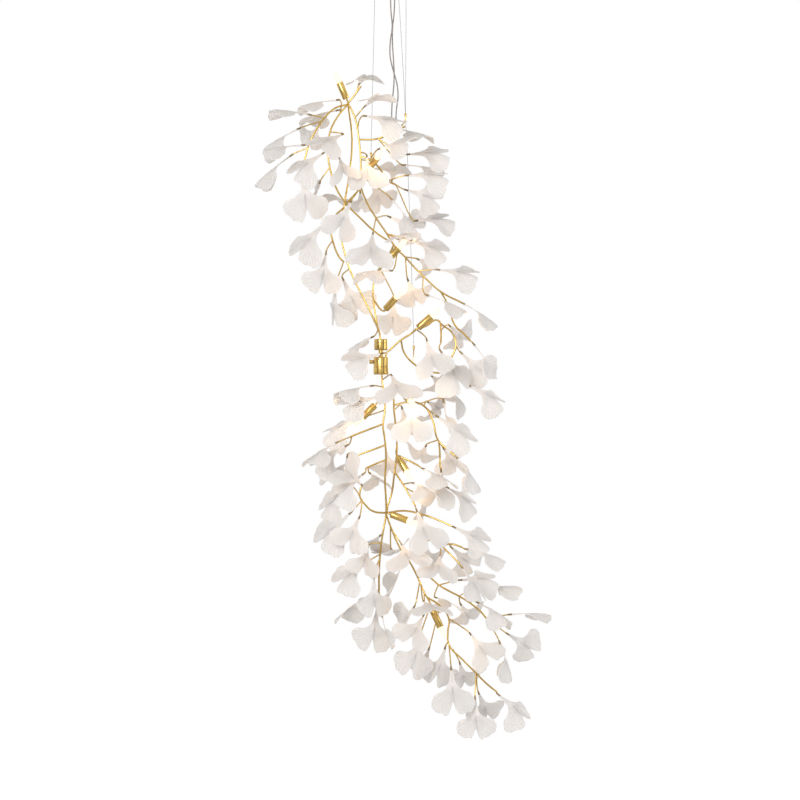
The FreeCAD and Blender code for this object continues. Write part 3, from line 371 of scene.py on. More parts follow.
# a leaf: fork on the rods, socket, tip (column, row), way of its lean, size, and where its arched face looks
leafRows = {
    ("crown_leaves", "upper"): [
        ((357, 92), (359, 84, -3), (367, 67), -1, "m", "U"),
        ((355, 118), (366, 106, 7), (384, 95), 1, "m", "U"),
        ((357, 130), (366, 117, 10), (406, 124), 1, "m", "UV"),
        ((340, 114), (337, 101, 10), (298, 106), 1, "m", "U"),
        ((342, 110), (337, 110, -4), (301, 115), -1, "m", "U"),
        ((396, 130), (398, 127, -27), (431, 134), 1, "m", "U"),
        ((325, 119), (309, 116, 17), (271, 110), 1, "m", "U"),
        ((323, 122), (298, 129, 0), (257, 149), -1, "m", "U"),
    ],
    ("upper_left_leaves", "upper"): [
        ((309, 146), (303, 147, 22), (262, 150), 1, "m", "U"),
        ((325, 119), (320, 124, 2), (305, 148), -1, "s", "V"),
        ((331, 133), (342, 136, 15), (318, 148), 1, "m", "UV"),
        ((309, 149), (291, 157, 14), (250, 186), -1, "l", "U"),
        ((328, 150), (323, 155, 18), (290, 177), 1, "m", "UV"),
        ((329, 158), (340, 160, 15), (346, 180), 1, "s", "V"),
        ((304, 168), (303, 176, 15), (309, 226), 1, "l", "V"),
        ((330, 168), (320, 183, 6), (313, 202), -1, "s", "RV"),
    ],
    ("upper_right_leaves", "upper"): [
        ((370, 160), (380, 150, 16), (410, 142), 1, "m", "UV"),
        ((378, 138), (409, 154, -4), (453, 151), 1, "m", "UV"),
        ((378, 138), (405, 163, -28), (449, 166), -1, "m", "U"),
        ((388, 181), (408, 176, 8), (452, 174), 1, "m", "UV"),
        ((396, 185), (392, 180, -4), (396, 157), -1, "m", "V"),
        ((396, 185), (407, 190, -4), (445, 200), -1, "m", "V"),
        ((396, 185), (417, 219, -30), (455, 214), -1, "m", "UV"),
        ((380, 190), (392, 200, 7), (427, 240), 1, "l", "U"),
    ],
    ("upper_middle_leaves", "upper"): [
        ((361, 152), (367, 158, 12), (369, 190), 1, "m", "V"),
        ((361, 175), (372, 181, -6), (384, 212), -1, "m", "V"),
        ((344, 205), (360, 191, -20), (361, 213), -1, "s", "V"),
        ((345, 200), (347, 204, -14), (328, 188), -1, "s", "U"),
        ((349, 203), (351, 203, 15), (335, 238), 1, "m", "V"),
        ((376, 218), (373, 235, 16), (369, 267), 1, "l", "V"),
        ((387, 234), (399, 240, 30), (409, 233), 1, "m", "U"),
        ((387, 234), (411, 240, -4), (450, 254), 1, "m", "UV"),
        ((376, 218), (390, 216, -20), (426, 232), -1, "m", "V"),
        ((398, 250), (390, 271, 8), (358, 272), 1, "m", "U"),
    ],
    ("drop_leaves", "upper"): [
        ((333, 222), (324, 224, 4), (292, 258), 1, "l", "UV"),
        ((332, 240), (326, 254, 4), (320, 297), 1, "m", "V"),
        ((343, 262), (335, 288, -12), (332, 328), -1, "m", "LV"),
        ((350, 268), (343, 279, -12), (362, 320), -1, "l", "V"),
        ((378, 330), (372, 337, -10), (343, 350), -1, "m", "UV"),
        ((380, 268), (394, 300, -14), (392, 338), -1, "m", "V"),
    ],
    ("arm_leaves", "upper"): [
        ((405, 257), (418, 259, -4), (437, 266), -1, "m", "V"),
        ((418, 271), (439, 270, 4), (480, 275), 1, "m", "UV"),
        ((423, 276), (428, 296, 15), (468, 309), 1, "m", "U"),
        ((452, 298), (464, 304, 3), (502, 325), 1, "m", "U"),
        ((405, 258), (408, 280, -3), (418, 308), -1, "m", "V"),
        ((470, 341), (474, 345, 13), (501, 379), 1, "m", "U"),
    ],
    ("neck_leaves", "neck"): [
        ((441, 342), (441, 352, 8), (466, 393), 1, "l", "UV"),
        ((456, 345), (462, 353, -18), (494, 385), -1, "m", "V"),
        ((416, 329), (427, 341, 10), (436, 375), 1, "m", "V"),
        ((425, 370), (432, 376, -18), (448, 389), -1, "m", "V"),
        ((449, 373), (445, 388, -14), (469, 404), -1, "m", "UV"),
        ((449, 373), (470, 386, -4), (511, 407), 1, "m", "UV"),
        ((441, 330), (450, 326, -4), (470, 345), -1, "m", "V"),
        ((389, 354), (381, 354, 12), (343, 363), 1, "m", "UV"),
    ],
    ("shoulder_left_leaves", "lower"): [
        ((383, 387), (371, 386, 4), (334, 391), 1, "m", "U"),
        ((384, 392), (378, 397, 14), (339, 406), 1, "m", "UV"),
        ((385, 410), (362, 418, -8), (318, 434), -1, "l", "UV"),
        ((350, 437), (336, 443, 14), (304, 460), 1, "m", "U"),
        ((352, 436), (346, 446, 6), (309, 466), -1, "m", "UV"),
        ((358, 455), (352, 462, -24), (320, 475), -1, "m", "U"),
        ((358, 455), (347, 457, -8), (340, 490), -1, "s", "L"),
        ((384, 440), (386, 452, -10), (392, 480), -1, "m", "V"),
        ((382, 380), (392, 376, 12), (402, 397), 1, "l", "UV"),
    ],
    ("shoulder_right_leaves", "lower"): [
        ((410, 398), (411, 404, 14), (412, 443), 1, "m", "V"),
        ((424, 406), (428, 402, -18), (447, 413), -1, "m", "V"),
        ((418, 404), (444, 402, -26), (449, 438), -1, "s", "L"),
        ((424, 406), (438, 417, -2), (478, 444), 1, "l", "UV"),
        ((438, 440), (426, 446, -10), (418, 466), -1, "m", "V"),
        ((440, 443), (444, 449, -10), (461, 472), -1, "m", "U"),
        ((455, 456), (457, 458, 3), (485, 490), 1, "m", "U"),
        ((394, 410), (402, 408, -14), (410, 440), -1, "m", "V"),
    ],
    ("waist_right_leaves", "lower"): [
        ((419, 466), (424, 469, 8), (453, 482), 1, "m", "U"),
        ((440, 466), (441, 472, -2), (436, 506), 1, "m", "V"),
        ((440, 466), (448, 488, -8), (481, 509), -1, "m", "UV"),
        ((403, 484), (414, 483, 14), (433, 489), 1, "s", "U"),
        ((405, 487), (420, 497, -4), (430, 514), -1, "m", "RV"),
        ((415, 505), (417, 511, 14), (430, 548), 1, "l", "V"),
    ],
    ("waist_left_leaves", "lower"): [
        ((366, 468), (363, 474, 16), (330, 500), 1, "m", "UV"),
        ((368, 466), (370, 473, 6), (384, 483), -1, "s", "U"),
        ((361, 487), (361, 484, 12), (344, 468), 1, "m", "V"),
        ((362, 500), (348, 488, 2), (317, 515), -1, "m", "UV"),
        ((362, 500), (350, 513, 16), (311, 548), 1, "l", "UV"),
        ((362, 500), (359, 518, 15), (346, 546), 1, "m", "V"),
    ],
    ("knee_left_leaves", "lower"): [
        ((383, 532), (380, 536, -6), (364, 550), -1, "m", "U"),
        ((381, 543), (368, 547, 4), (362, 572), 1, "s", "V"),
        ((380, 554), (367, 562, 7), (333, 586), 1, "m", "UV"),
        ((380, 558), (374, 577, 12), (374, 619), 1, "m", "V"),
        ((379, 590), (364, 599, -8), (336, 619), -1, "m", "U"),
        ((379, 588), (377, 610, -15), (371, 657), -1, "l", "V"),
        ((379, 590), (382, 616, 2), (390, 650), 1, "s", "L"),
        ((402, 552), (402, 565, -10), (390, 600), -1, "m", "R"),
    ],
    ("knee_right_leaves", "lower"): [
        ((392, 530), (402, 545, 6), (411, 562), 1, "l", "UV"),
        ((390, 526), (391, 549, -8), (395, 560), -1, "m", "V"),
        ((441, 545), (440, 556, 4), (437, 575), 1, "m", "V"),
        ((451, 526), (455, 528, -12), (496, 548), -1, "m", "UV"),
        ((462, 547), (467, 549, 8), (511, 559), 1, "m", "U"),
        ((452, 545), (452, 548, -6), (478, 574), -1, "m", "V"),
        ((460, 564), (462, 567, 20), (486, 599), 1, "m", "U"),
        ((434, 538), (426, 546, -14), (432, 574), -1, "m", "V"),
    ],
    ("tail_left_leaves", "lower"): [
        ((420, 582), (414, 607, 2), (401, 630), -1, "m", "R"),
        ((424, 592), (423, 616, 6), (408, 641), 1, "m", "V"),
        ((421, 585), (424, 601, 10), (436, 606), 1, "m", "U"),
        ((431, 604), (421, 633, 8), (410, 680), 1, "l", "V"),
        ((440, 606), (429, 650, -12), (419, 681), -1, "m", "V"),
        ((438, 585), (436, 598, -8), (456, 606), -1, "m", "U"),
    ],
    ("tail_right_leaves", "lower"): [
        ((439, 585), (461, 580, 0), (500, 578), -1, "m", "UV"),
        ((459, 596), (477, 590, -28), (525, 585), -1, "l", "U"),
        ((470, 603), (478, 602, 15), (512, 618), 1, "m", "U"),
        ((459, 596), (461, 605, -8), (474, 628), -1, "m", "V"),
        ((449, 619), (471, 635, -4), (491, 661), 1, "m", "V"),
        ((487, 619), (500, 643, 3), (517, 686), 1, "m", "R"),
        ((487, 619), (508, 634, 2), (541, 656), -1, "m", "V"),
        ((487, 619), (511, 615, -8), (551, 613), -1, "m", "U"),
    ],
    ("tip_leaves", "lower"): [
        ((449, 642), (445, 648, 0), (434, 691), -1, "l", "V"),
        ((449, 645), (451, 668, 15), (454, 713), 1, "l", "V"),
        ((452, 650), (460, 664, -8), (468, 694), -1, "m", "V"),
        ((476, 673), (475, 698, 7), (476, 739), 1, "m", "V"),
        ((476, 673), (479, 694, -6), (492, 727), -1, "m", "V"),
        ((497, 692), (499, 695, 0), (532, 722), -1, "m", "UV"),
    ],
}


# the nearest place on a section's rods, so that a fork always starts on one
def nearestOn(rods, column, row):
    best, bestMiss = None, math.inf
    for rod in rods:
        for a, b in zip(rod, rod[1:]):
            run, fall = b[0] - a[0], b[1] - a[1]
            share = ((column - a[0]) * run + (row - a[1]) * fall) / max(run ** 2 + fall ** 2, 1e-6)
            share = min(max(share, 0.0), 1.0)
            found = [a[k] + (b[k] - a[k]) * share for k in range(3)]
            miss = math.hypot(found[0] - column, found[1] - row)
            if miss < bestMiss:
                best, bestMiss = found, miss
    return best


def laid(roots, limbs):
    rods = [list(rod) for rod in roots]
    for limb in limbs:
        rods.append([tuple(nearestOn(rods, *limb[0][:2])), *limb[1:]])
    return rods


rodForm = {"rod": 0.0024, "twig": 0.0017, "collar": 0.008, "roundness": 2, "smoothness": 5}
sections = {"upper": laid(upperRods, upperLimbs), "lower": laid(lowerRods, lowerLimbs),
            "neck": laid(neckRods, neckLimbs)}
runs = {name: {"rod": [[spot(*point) for point in rod] for rod in rods], "twig": []}
        for name, rods in sections.items()}


def tie(section, fork, foot, along, kind):
    start = spot(*nearestOn(sections[section], *fork))
    runs[section][kind].append([start, foot - along * rodForm["collar"], foot])


# leaves: a cleft fan with radiating relief, cupped and folded, on a slender stalk
leafSizes = {"s": 0.86, "m": 1.0, "l": 1.14}
leafForm = {
    "stalk": 0.030, "reach": 0.075, "spread": 64, "thick": 0.0015, "lift": 0.0003,
    "cleft": 0.4, "cleftWidth": 0.095, "sideCut": 0.17, "sidePower": 4, "cornerCut": 0.11, "cornerPower": 14,
    "rimCut": 0.03, "slowWave": 0.022, "slowCount": 9, "fastWave": 0.018, "fastCount": 23,
    "flareFrom": 0.5, "flareRate": 1.2, "flarePower": 0.9,
    "droop": 0.022, "middleArch": 0.45, "sideArch": 0.25, "crease": 0.008,
    "ripple": 0.004, "rippleCount": 7.5, "rippleFrom": 0.2,
    "neckHalf": 0.0024, "throatHalf": 0.0076, "throatPower": 1.4, "coneRadii": (0.0024, 0.0012),
    "coneSides": 10, "coneSink": 0.0002,
    "columns": 26, "rows": 13, "stalkRows": 0.2, "crowding": 1.45, "seed": 7,
}
# what differs from leaf to leaf, drawn in this order
leafChances = {"phase": (0, 6.28), "lean": (-0.05, 0.05), "curl": (0.9, 1.15), "notch": (-0.05, 0.05),
               "depth": (0.86, 1.12), "fold": (6, 34)}
faceWays = {"U": Vector((0, 0, 1)), "V": Vector((0, -1, 0)), "L": Vector((-1, 0, 0)), "R": Vector((1, 0, 0))}


# how far the rim reaches, as a share of the leaf, across the fan from -1 to 1
def rimShare(turn, drawn):
    f = leafForm
    cleft = f["cleft"] * drawn["depth"] * math.exp(-((turn - drawn["notch"]) / f["cleftWidth"]) ** 2)
    waves = f["slowWave"] * math.sin(turn * f["slowCount"] + drawn["phase"])
    waves += f["fastWave"] * math.sin(turn * f["fastCount"] + drawn["phase"] * 2)
    sides = f["sideCut"] * turn ** f["sidePower"]
    rim = 1 - sides - f["cornerCut"] * abs(turn) ** f["cornerPower"] - cleft
    return rim * (1 - (f["rimCut"] + waves))


def leafPoint(across, way, drawn):
    f = leafForm
    turn = math.copysign(abs(across) ** f["crowding"], across)
    out = max(0.0, (way - f["stalkRows"]) / (1 - f["stalkRows"]))
    onStalk = min(1.0, way / f["stalkRows"])
    distance = out * rimShare(turn, drawn) * f["reach"]
    flare = f["flareFrom"] + (1 - f["flareFrom"]) * min(1.0, f["flareRate"] * out) ** f["flarePower"]
    angle = turn * math.radians(f["spread"]) * flare + drawn["lean"] * out
    arch = (distance / f["reach"]) ** 2 * (f["middleArch"] + f["sideArch"] * math.sin(angle) ** 2)
    ripple = f["ripple"] * out ** 2 * math.cos(f["rippleCount"] * (abs(turn) - f["rippleFrom"]))
    if out == 0:
        stem = f["neckHalf"] + (f["throatHalf"] - f["neckHalf"]) * onStalk ** f["throatPower"]
    else:
        stem = f["throatHalf"] * (1 - out) ** f["throatPower"]
    side = distance * math.sin(angle)
    fold = math.radians(drawn["fold"])
    fall = (math.hypot(side, f["crease"]) - f["crease"]) * math.sin(fold)
    return Vector((f["stalk"] * onStalk + distance * math.cos(angle), side * math.cos(fold) + turn * stem,
                   ripple - f["droop"] * arch * drawn["curl"] - fall))


def leafShape(share, chance):
    f = leafForm
    drawn = {name: chance.uniform(*span) for name, span in leafChances.items()}
    bm = bmesh.new()
    bm.loops.layers.uv.new("UVMap")
    bmesh.ops.create_grid(bm, x_segments=f["columns"], y_segments=f["rows"], size=1, calc_uvs=True)
    for vert in bm.verts:
        vert.co = leafPoint(vert.co.x, (vert.co.y + 1) / 2, drawn) * share
    bmesh.ops.solidify(bm, geom=bm.faces[:], thickness=f["thick"])
    bmesh.ops.translate(bm, verts=bm.verts, vec=(0, 0, f["lift"]))
    length = f["stalk"] * share
    laidDown = Matrix.Translation((length / 2, 0, -f["coneSink"])) @ Matrix.Rotation(math.pi / 2, 4, "Y")
    cone = bmesh.ops.create_cone(bm, cap_ends=True, segments=f["coneSides"], radius1=f["coneRadii"][0],
                                 radius2=f["coneRadii"][1], depth=length)
    bmesh.ops.transform(bm, verts=cone["verts"], matrix=laidDown)
    bmesh.ops.recalc_face_normals(bm, faces=bm.faces)
    return bm


ferrules = {name: [] for name in sections}
chance = random.Random(leafForm["seed"])


# a leaf's length and its tip on the grid give how far it leans toward the viewer or away
def placedLeaf(section, fork, socket, tip, way, key, face):
    length = (leafForm["stalk"] + leafForm["reach"]) * leafSizes[key]
    flat = Vector((tip[0] - socket[0], 0, socket[1] - tip[1])) * layout["step"]
    lean = math.sqrt(max(length ** 2 - flat.length ** 2, 0.0))
    along = Vector((flat.x, -way * lean, flat.z)).normalized()
    foot = spot(*socket)
    tie(section, fork, foot, along, "twig")
    ferrules[section].append(upFrame(foot, along))
    leaf = leafShape(leafSizes[key], chance)
    leaf.transform(frameAt(foot, along, sum((faceWays[letter] for letter in face), Vector())))
    return leaf


for (label, section), rows in leafRows.items():
    leaves = [placedLeaf(section, *row) for row in rows]
    meshPiece(label.replace("_leaves", "_porcelain"), joined(leaves), "porcelain", label)
print("leaves set")

# lamps: a brass tube, its ceramic socket and a frosted capsule
lampForm = {
    "radius": 8.75, "wall": 1.0, "length": 44, "floor": 3, "tubeSteps": 44,
    "foot": 1.2, "footCorner": 0.35, "groove": 10, "grooveWidth": 1, "grooveDepth": 0.3, "grooveSlope": 0.2,
    "rim": [(0, -0.5), (-0.3, 0), (-0.8, 0)], "rimInside": 0.4,
    "ceramic": 14, "bulbRadius": 6.6, "bulbLength": 54, "bulbSteps": 36,
    "bulbFoot": [(-0.9, 0), (-0.2, 0.5), (0, 2)], "domeTurn": 72, "domeSteps": 8, "bulbTip": (1.5, 0.15),
    "seatSteps": 32, "seat": [(0, 3.05), (7.2, 3.05), (7.4, 3.3), (7.4, 15.9), (6.9, 16.9), (5.2, 16.95),
                              (5.0, 15.6), (0, 15.6)],
}


def tubeProfile(size):
    outer, inner = size["radius"], size["radius"] - size["wall"]
    sunk, top, slope = outer - size["grooveDepth"], size["groove"], size["grooveSlope"]
    bottom = top + size["grooveWidth"]
    foot = [(0, 0), (outer - size["foot"], 0), (outer - size["footCorner"], size["footCorner"]),
            (outer, size["foot"])]
    groove = [(outer, top), (sunk, top + slope), (sunk, bottom - slope), (outer, bottom)]
    rim = [(outer + inset, size["length"] + rise) for inset, rise in size["rim"]]
    inside = [(inner, size["length"] - size["rimInside"]), (inner, size["floor"]), (0, size["floor"])]
    return foot + groove + rim + inside


def capsuleProfile(size):
    radius, foot = size["bulbRadius"], size["floor"] + size["ceramic"]
    tip = foot + size["bulbLength"]
    start = [(0, foot)] + [(radius + inset, foot + rise) for inset, rise in size["bulbFoot"]]
    dome = arc((0, tip - radius), radius, 0, size["domeTurn"], size["domeSteps"])
    return start + dome + [(size["bulbTip"][0], tip - size["bulbTip"][1]), (0, tip)]


lampPlaces = {}
for letter, (section, fork, foot, course) in lamps.items():
    point, along = spot(*foot), heading(course)
    tie(section, fork, point, along, "rod")
    place = lampPlaces[letter] = upFrame(point, along)
    tube = turnedShape(tubeProfile(lampForm), lampForm["tubeSteps"])
    capsule = turnedShape(capsuleProfile(lampForm), lampForm["bulbSteps"])
    meshPiece("brassTube_" + letter, setOut(tube, [place]), "branch", "lamp_holder_" + letter)
    meshPiece("capsule_" + letter, setOut(capsule, [place]), "bulb", "bulb_" + letter,
              "bulb_%s_body" % letter)
seat = turnedShape(lampForm["seat"], lampForm["seatSteps"])
meshPiece("ceramicSockets", setOut(seat, lampPlaces.values()), "ceramic", "lamp_sockets")
print("lamps set")

# coupling blocks: the upper one hangs over the spigot of the lower one
blockForm = {
    "column": 381, "row": 339, "gap": 17, "edge": 2.5, "edgeSteps": 5, "steps": 56,
    "upper": {"radius": 17, "height": 28, "groove": 9}, "lower": {"radius": 19, "height": 44, "groove": 23},
    "grooveWidth": 2.4, "grooveDepth": 0.8, "grooveSlope": 0.6,
    "bore": 6.3, "boreDepth": 13.8, "spigot": 6, "spigotTip": 5.2, "spigotReach": 13.9, "spigotBevel": 0.9,
}


def blockSide(block, size):
    radius, edge, steps, slope = block["radius"], size["edge"], size["edgeSteps"], size["grooveSlope"]
    sunk, top = radius - size["grooveDepth"], -block["groove"]
    bottom = top - size["grooveWidth"]
    groove = [(radius, top), (sunk, top - slope), (sunk, bottom + slope), (radius, bottom)]
    return (arc((radius - edge, -edge), edge, 90, 0, steps) + groove
            + arc((radius - edge, edge - block["height"]), edge, 0, -90, steps))


def upperBlock(size):
    bore, depth = size["bore"], -size["boreDepth"]
    return ([(0, 0)] + blockSide(size["upper"], size)
            + [(bore, -size["upper"]["height"]), (bore, depth), (0, depth)])


def lowerBlock(size):
    tip, spigot = size["gap"] + size["spigotReach"], size["spigot"]
    return ([(0, tip), (size["spigotTip"], tip), (spigot, tip - size["spigotBevel"]), (spigot, 0)]
            + blockSide(size["lower"], size) + [(0, -size["lower"]["height"])])


upperTop = spot(blockForm["column"], blockForm["row"])
lowerTop = upperTop - Vector((0, 0, (blockForm["upper"]["height"] + blockForm["gap"]) / perMetre))
for name, profile, top, node in (("upperCouplingBlock", upperBlock(blockForm), upperTop, "upper_coupling"),
                                 ("lowerCouplingBlock", lowerBlock(blockForm), lowerTop, "lower_coupling")):
    block = turnedShape(profile, blockForm["steps"])
    meshPiece(name, setOut(block, [Matrix.Translation(top)]), "branch", node)

# thumb screw with a fluted grip
screwForm = {"drop": 12, "steps": 36, "fluteFrom": 4.8, "fluteTurn": 10, "fluteShare": 0.93, "profile": [
    (0, 9.3), (2.5, 9.3), (2.5, 19.3), (4.4, 19.3), (5, 20), (5, 28.4), (4.3, 29.2), (0, 29.3)]}
knob = turnedShape(screwForm["profile"], screwForm["steps"])
for vert in knob.verts:
    turn = math.degrees(math.atan2(vert.co.y, vert.co.x))
    if vert.co.xy.length > screwForm["fluteFrom"] / perMetre and round(turn / screwForm["fluteTurn"]) % 2:
        vert.co.xy *= screwForm["fluteShare"]
knobPlace = upFrame(lowerTop - Vector((0, 0, screwForm["drop"] / perMetre)), Vector((-1, 0, 0)))
meshPiece("thumbScrew", setOut(knob, [knobPlace]), "fitting", "thumb_screw", "thumb_screw_body")

# ceiling canopy, its screws and strap
canopyForm = {
    "radius": 80, "height": 30, "wall": 1.6, "bend": 5, "bendSteps": 6, "lipDrop": 0.4, "lipInset": 0.3,
    "steps": 96, "screwReach": 60, "screwDrop": 10, "screwSteps": 28,
    "screw": [(0, 0), (2, 0), (2, 20), (4, 20), (4, 20.9), (3.2, 21.8), (1.6, 22), (1.4, 21.2), (0, 21.2)],
}


def canopyProfile(size):
    outer, inner = size["radius"], size["radius"] - size["wall"]
    bend, steps, inset, drop = size["bend"], size["bendSteps"], size["lipInset"], -size["lipDrop"]
    outside = arc((outer - bend, bend - size["height"]), bend, -90, 0, steps)
    lip = [(outer, drop), (outer - inset, 0), (inner + inset, 0), (inner, drop)]
    inside = arc((inner - bend, bend + size["wall"] - size["height"]), bend, 0, -90, steps)
    return [(0, -size["height"])] + outside + lip + inside + [(0, size["wall"] - size["height"])]


canopy = turnedShape(canopyProfile(canopyForm), canopyForm["steps"])
meshPiece("canopyShell", setOut(canopy, [Matrix()]), "canopy", "ceiling_canopy")
screwPlaces = []
for side in (-1, 1):
    screwPoint = Vector((side * canopyForm["screwReach"] / perMetre, 0, -canopyForm["screwDrop"] / perMetre))
    screwPlaces.append(upFrame(screwPoint, Vector((side, 0, 0))))
screw = turnedShape(canopyForm["screw"], canopyForm["screwSteps"])
meshPiece("canopyScrews", setOut(screw, screwPlaces), "steel", "canopy_screws")
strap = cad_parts["ceiling_strap"]
strap.data.materials.clear()
strap.data.materials.append(finishes["steel"].owner)
print("couplings and canopy set")

# cords down the routes of the solids: section, fork, length, and the points, of which the
# first is (column, depth) under the canopy and the others are (column, row, depth)
cordForm = {
    "sink": 0.0003, "order": 3, "roundness": 3, "smoothness": 8, "topSteps": 32, "endSteps": 28,
    "wire": {
        "radius": 0.0006, "stiffness": "stiff", "lay": "taut", "endLength": 0.008,
        "node": "suspension_wire_", "topNode": "gripper_set", "endNode": "stop_set",
        "top": [(2.4, -10), (3.2, -10), (3.8, -9.2), (5, -7), (5, -0.4), (4.7, 0), (2.4, 0), (2.4, -10)],
        "end": [(0, -8), (2.6, -8), (3, -7.6), (3, -0.4), (2.7, 0), (0, 0)],
        "routes": {
            "left": ("upper", (361, 160), 0.400, [(374.8, -6), (371, 152, -6)]),
            "middle": ("neck", (413, 363), 0.885, [(398.5, -24), (408, 124, -40), (414, 345, -44)]),
            "right": ("upper", (396, 130), 0.301, [(406.2, -4), (405.6, 112, -14)]),
        },
    },
    "cable": {
        "radius": 0.0016, "stiffness": "medium", "lay": "hanging", "endLength": 0.012,
        "node": "power_cable_", "topNode": "gland_set", "endNode": "sleeve_set",
        "top": [(1.9, -9), (4.6, -9), (5.2, -8.6), (6.8, -6.2), (7, -5.6), (7, -0.4), (6.7, 0), (1.9, 0),
                (1.9, -9)],
        "end": [(0, -12), (3.4, -12), (4, -11.4), (4, -1), (3.2, 0), (0, 0)],
        "routes": {
            "left": ("upper", (378, 138), 0.324, [
                (390.6, 2), (390.6, 12, 2), (392.8, 26, 2), (390.2, 41, 1), (389.6, 56, 0), (393, 70, 1),
                (397.4, 84, 0), (398.4, 98, -2), (396, 110, -5), (396, 120, -5)]),
            "right": ("upper", (396, 130), 0.324, [
                (394.7, -2), (394.7, 10, -2), (392.6, 25, -2), (392.2, 42, -3), (393.6, 60, -3),
                (394.4, 78, -4), (393, 94, -7), (391.6, 108, -10), (391.6, 121, -10)]),
        },
    },
}


def underCanopy(column, depth):
    place = spot(column, 0, depth)
    place.z = -canopyForm["height"] / perMetre
    return place


def cordPiece(kind, label, path):
    cord = cordForm[kind]
    line = bpy.data.curves.new("cordLine", "CURVE")
    line.dimensions, line.use_fill_caps, line.bevel_depth = "3D", True, cord["radius"]
    line.bevel_resolution, line.resolution_u = cordForm["roundness"], cordForm["smoothness"]
    spline = line.splines.new("NURBS")
    spline.points.add(len(path) - 1)
    for point, place in zip(spline.points, path):
        point.co = (*place, 1)
    spline.order_u, spline.use_endpoint_u = cordForm["order"], True
    piece = finished(bpy.data.objects.new(kind + "_" + label, line), kind, cord["node"] + label)
    2 * cord["radius"]


for kind in ("wire", "cable"):
    cord = cordForm[kind]
    tops, ends = [], []
    for label, (section, fork, length, route) in cord["routes"].items():
        top = underCanopy(*route[0])
        path = [top - Vector((0, 0, cordForm["sink"]))] + [spot(*point) for point in route[1:]]
        if len(path) == 2:
            path.insert(1, (path[0] + path[1]) / 2)
        cordPiece(kind, label, path)
        tops.append(Matrix.Translation(top))
        ends.append(Matrix.Translation(path[-1]))
        tie(section, fork, path[-1] - Vector((0, 0, cord["endLength"])), Vector((0, 0, 1)), "twig")
    topFitting = turnedShape(cord["top"], cordForm["topSteps"])
    endFitting = turnedShape(cord["end"], cordForm["endSteps"])
    meshPiece(kind + "sTopFittings", setOut(topFitting, tops), "fitting", cord["topNode"])
    meshPiece(kind + "sEndFittings", setOut(endFitting, ends), "fitting", cord["endNode"])
print("cords set")

# branches: round rods and twigs of each section, with a ferrule under every leaf
ferruleForm = {"steps": 14, "profile": [
    (0, -8.2), (1.9, -8.2), (2.15, -7.8), (2.25, -6), (2.25, -1), (2.6, 0.5), (2.8, 2.6), (2.5, 3), (0, 3)]}


def rodPiece(section, kind, paths):
    line = bpy.data.curves.new(section + kind, "CURVE")
    line.dimensions, line.use_fill_caps, line.bevel_depth = "3D", True, rodForm[kind]
    line.bevel_resolution, line.resolution_u = rodForm["roundness"], rodForm["smoothness"]
    for path in paths:
        spline = line.splines.new("BEZIER")
        spline.bezier_points.add(len(path) - 1)
        for point, place in zip(spline.bezier_points, path):
            point.co = place
            point.handle_left_type = point.handle_right_type = "AUTO"
    finished(bpy.data.objects.new(section + kind.title() + "s", line), "branch", section + "_branch")


for section, kinds in runs.items():
    for kind, paths in kinds.items():
        rodPiece(section, kind, paths)
    collar = turnedShape(ferruleForm["profile"], ferruleForm["steps"])
    meshPiece(section + "Ferrules", setOut(collar, ferrules[section]), "ferrule")
print("branches set")

# white room: a floor and a sky that look white, soft studio light and the camera
room = {
    "middle": (0, 0, -1.0), "floorLevel": -2.45, "floorWidth": 32, "floorColour": (0.9, 0.9, 0.9, 1),
    "floorRough": 0.8, "floorShows": 0.82, "floorGlow": 1.13,
    "fill": 0.46, "fillColour": (1.0, 0.99, 0.975, 1), "white": 1.0, "whiteColour": (1, 1, 1, 1),
    "cardTurn": 50, "cardReach": 5, "cardWidth": 1.9, "cardHeight": 6, "cardColour": (0.03, 0.028, 0.025, 1),
    "cardRough": 0.9, "glowPower": 0.19, "glowColour": (1, 0.63, 0.33), "glowSize": 0.02, "glowReach": 0.05,
}
softboxes = {
    "keyLight": {"place": (-2.2, -5.4, 0.3), "width": 2.2, "power": 148, "colour": (1, 0.985, 0.97)},
    "sideLight": {"place": (3.4, -1.2, -0.6), "width": 2.0, "power": 26, "colour": (0.96, 0.98, 1)},
    "backLight": {"place": (2.4, 5.2, 0.2), "width": 2.4, "power": 70, "colour": (1, 0.98, 0.95)},
}
view = {"place": (0.020, -8.0, -1.05), "lens": 144, "sensor": 36, "clipEnd": 60}
scene = bpy.context.scene
middle = Vector(room["middle"])


def stagePlane(name, place, width, height, sheet):
    bm = bmesh.new()
    bmesh.ops.create_grid(bm, x_segments=1, y_segments=1, size=0.5)
    bmesh.ops.transform(bm, verts=bm.verts, matrix=place @ Matrix.Diagonal((width, height, 1, 1)))
    mesh = bpy.data.meshes.new(name)
    bm.to_mesh(mesh)
    bm.free()
    mesh.materials.append(sheet.owner)
    plane = bpy.data.objects.new(name, mesh)
    scene.collection.objects.link(plane)
    return plane


# the floor shows white to the camera, takes the shadow, and can be seen through from below
floorSheet = Sheet("paleFloor", **{"Base Color": room["floorColour"], "Roughness": room["floorRough"]})
shows = floorSheet.node("ShaderNodeLightPath", {}, {}, "Is Camera Ray") * room["floorShows"]
glow = floorSheet.node("ShaderNodeEmission", {}, {"Strength": room["floorGlow"]})
above = floorSheet.mixed(shows, floorSheet.own("Principled BSDF"), glow)
under = floorSheet.node("ShaderNodeNewGeometry", {}, {}, "Backfacing")
clear = floorSheet.node("ShaderNodeBsdfTransparent", {}, {})
floorSheet.fill("Material Output", {"Surface": floorSheet.mixed(under, above, clear)})
floorPlace = Matrix.Translation((0, 0, room["floorLevel"]))
stagePlane("floor", floorPlace, room["floorWidth"], room["floorWidth"], floorSheet)

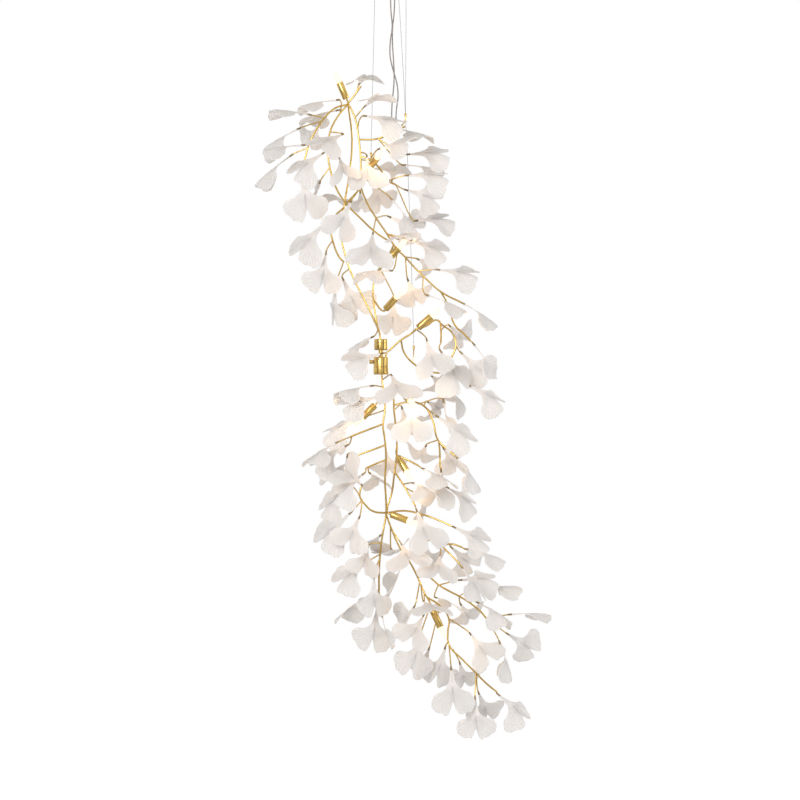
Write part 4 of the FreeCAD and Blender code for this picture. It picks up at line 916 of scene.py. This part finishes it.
# the sky is white where it is seen, through glass and in metal too, and softer as a light
sky = Sheet("paleRoom", store="worlds")
scene.world = sky.owner
sky.fill("Background", {"Color": room["fillColour"], "Strength": room["fill"]})
seen = sky.node("ShaderNodeBackground", {}, {"Color": room["whiteColour"], "Strength": room["white"]})
straight, through, mirrored = (sky.node("ShaderNodeLightPath", {}, {}, ray)
                               for ray in ("Is Camera Ray", "Is Transmission Ray", "Is Glossy Ray"))
shows = straight.maths("MAXIMUM", straight.maths("MAXIMUM", straight, through), mirrored)
sky.fill("World Output", {"Surface": sky.mixed(shows, sky.own("Background"), seen)})

for name, box in softboxes.items():
    lamp = bpy.data.lights.new(name, "AREA")
    lamp.shape, lamp.size, lamp.energy, lamp.color = "SQUARE", box["width"], box["power"], box["colour"]
    thing = bpy.data.objects.new(name, lamp)
    thing.location = box["place"]
    thing.rotation_euler = (middle - Vector(box["place"])).to_track_quat("-Z", "Y").to_euler()
    scene.collection.objects.link(thing)

# two dark cards that only mirror in the brass, as in a product studio
cardSheet = Sheet("darkCard", **{"Base Color": room["cardColour"], "Roughness": room["cardRough"]})
turn = math.radians(room["cardTurn"])
for side in (-1, 1):
    point = middle + Vector((side * math.sin(turn), -math.cos(turn), 0)) * room["cardReach"]
    facing = (middle - point).to_track_quat("Z", "Y").to_matrix().to_4x4()
    cardPlace = Matrix.Translation(point) @ facing
    card = stagePlane("card", cardPlace, room["cardWidth"], room["cardHeight"], cardSheet)
    card.visible_camera = card.visible_diffuse = card.visible_shadow = card.visible_transmission = False

for letter, (_, _, foot, course) in lamps.items():
    lamp = bpy.data.lights.new("warmGlow_" + letter, "POINT")
    lamp.energy, lamp.color, lamp.shadow_soft_size = room["glowPower"], room["glowColour"], room["glowSize"]
    thing = bpy.data.objects.new("warmGlow_" + letter, lamp)
    thing.location = spot(*foot) + heading(course) * room["glowReach"]
    thing.visible_camera = thing.visible_glossy = False
    scene.collection.objects.link(thing)

camera = bpy.data.cameras.new("camera")
camera.lens, camera.sensor_width, camera.clip_end = view["lens"], view["sensor"], view["clipEnd"]
cameraPiece = bpy.data.objects.new("camera", camera)
cameraPiece.location = view["place"]
cameraPiece.rotation_euler = (math.pi / 2, 0, 0)
scene.collection.objects.link(cameraPiece)
scene.camera = cameraPiece
scene.view_settings.view_transform = "Standard"
print("room and camera set")
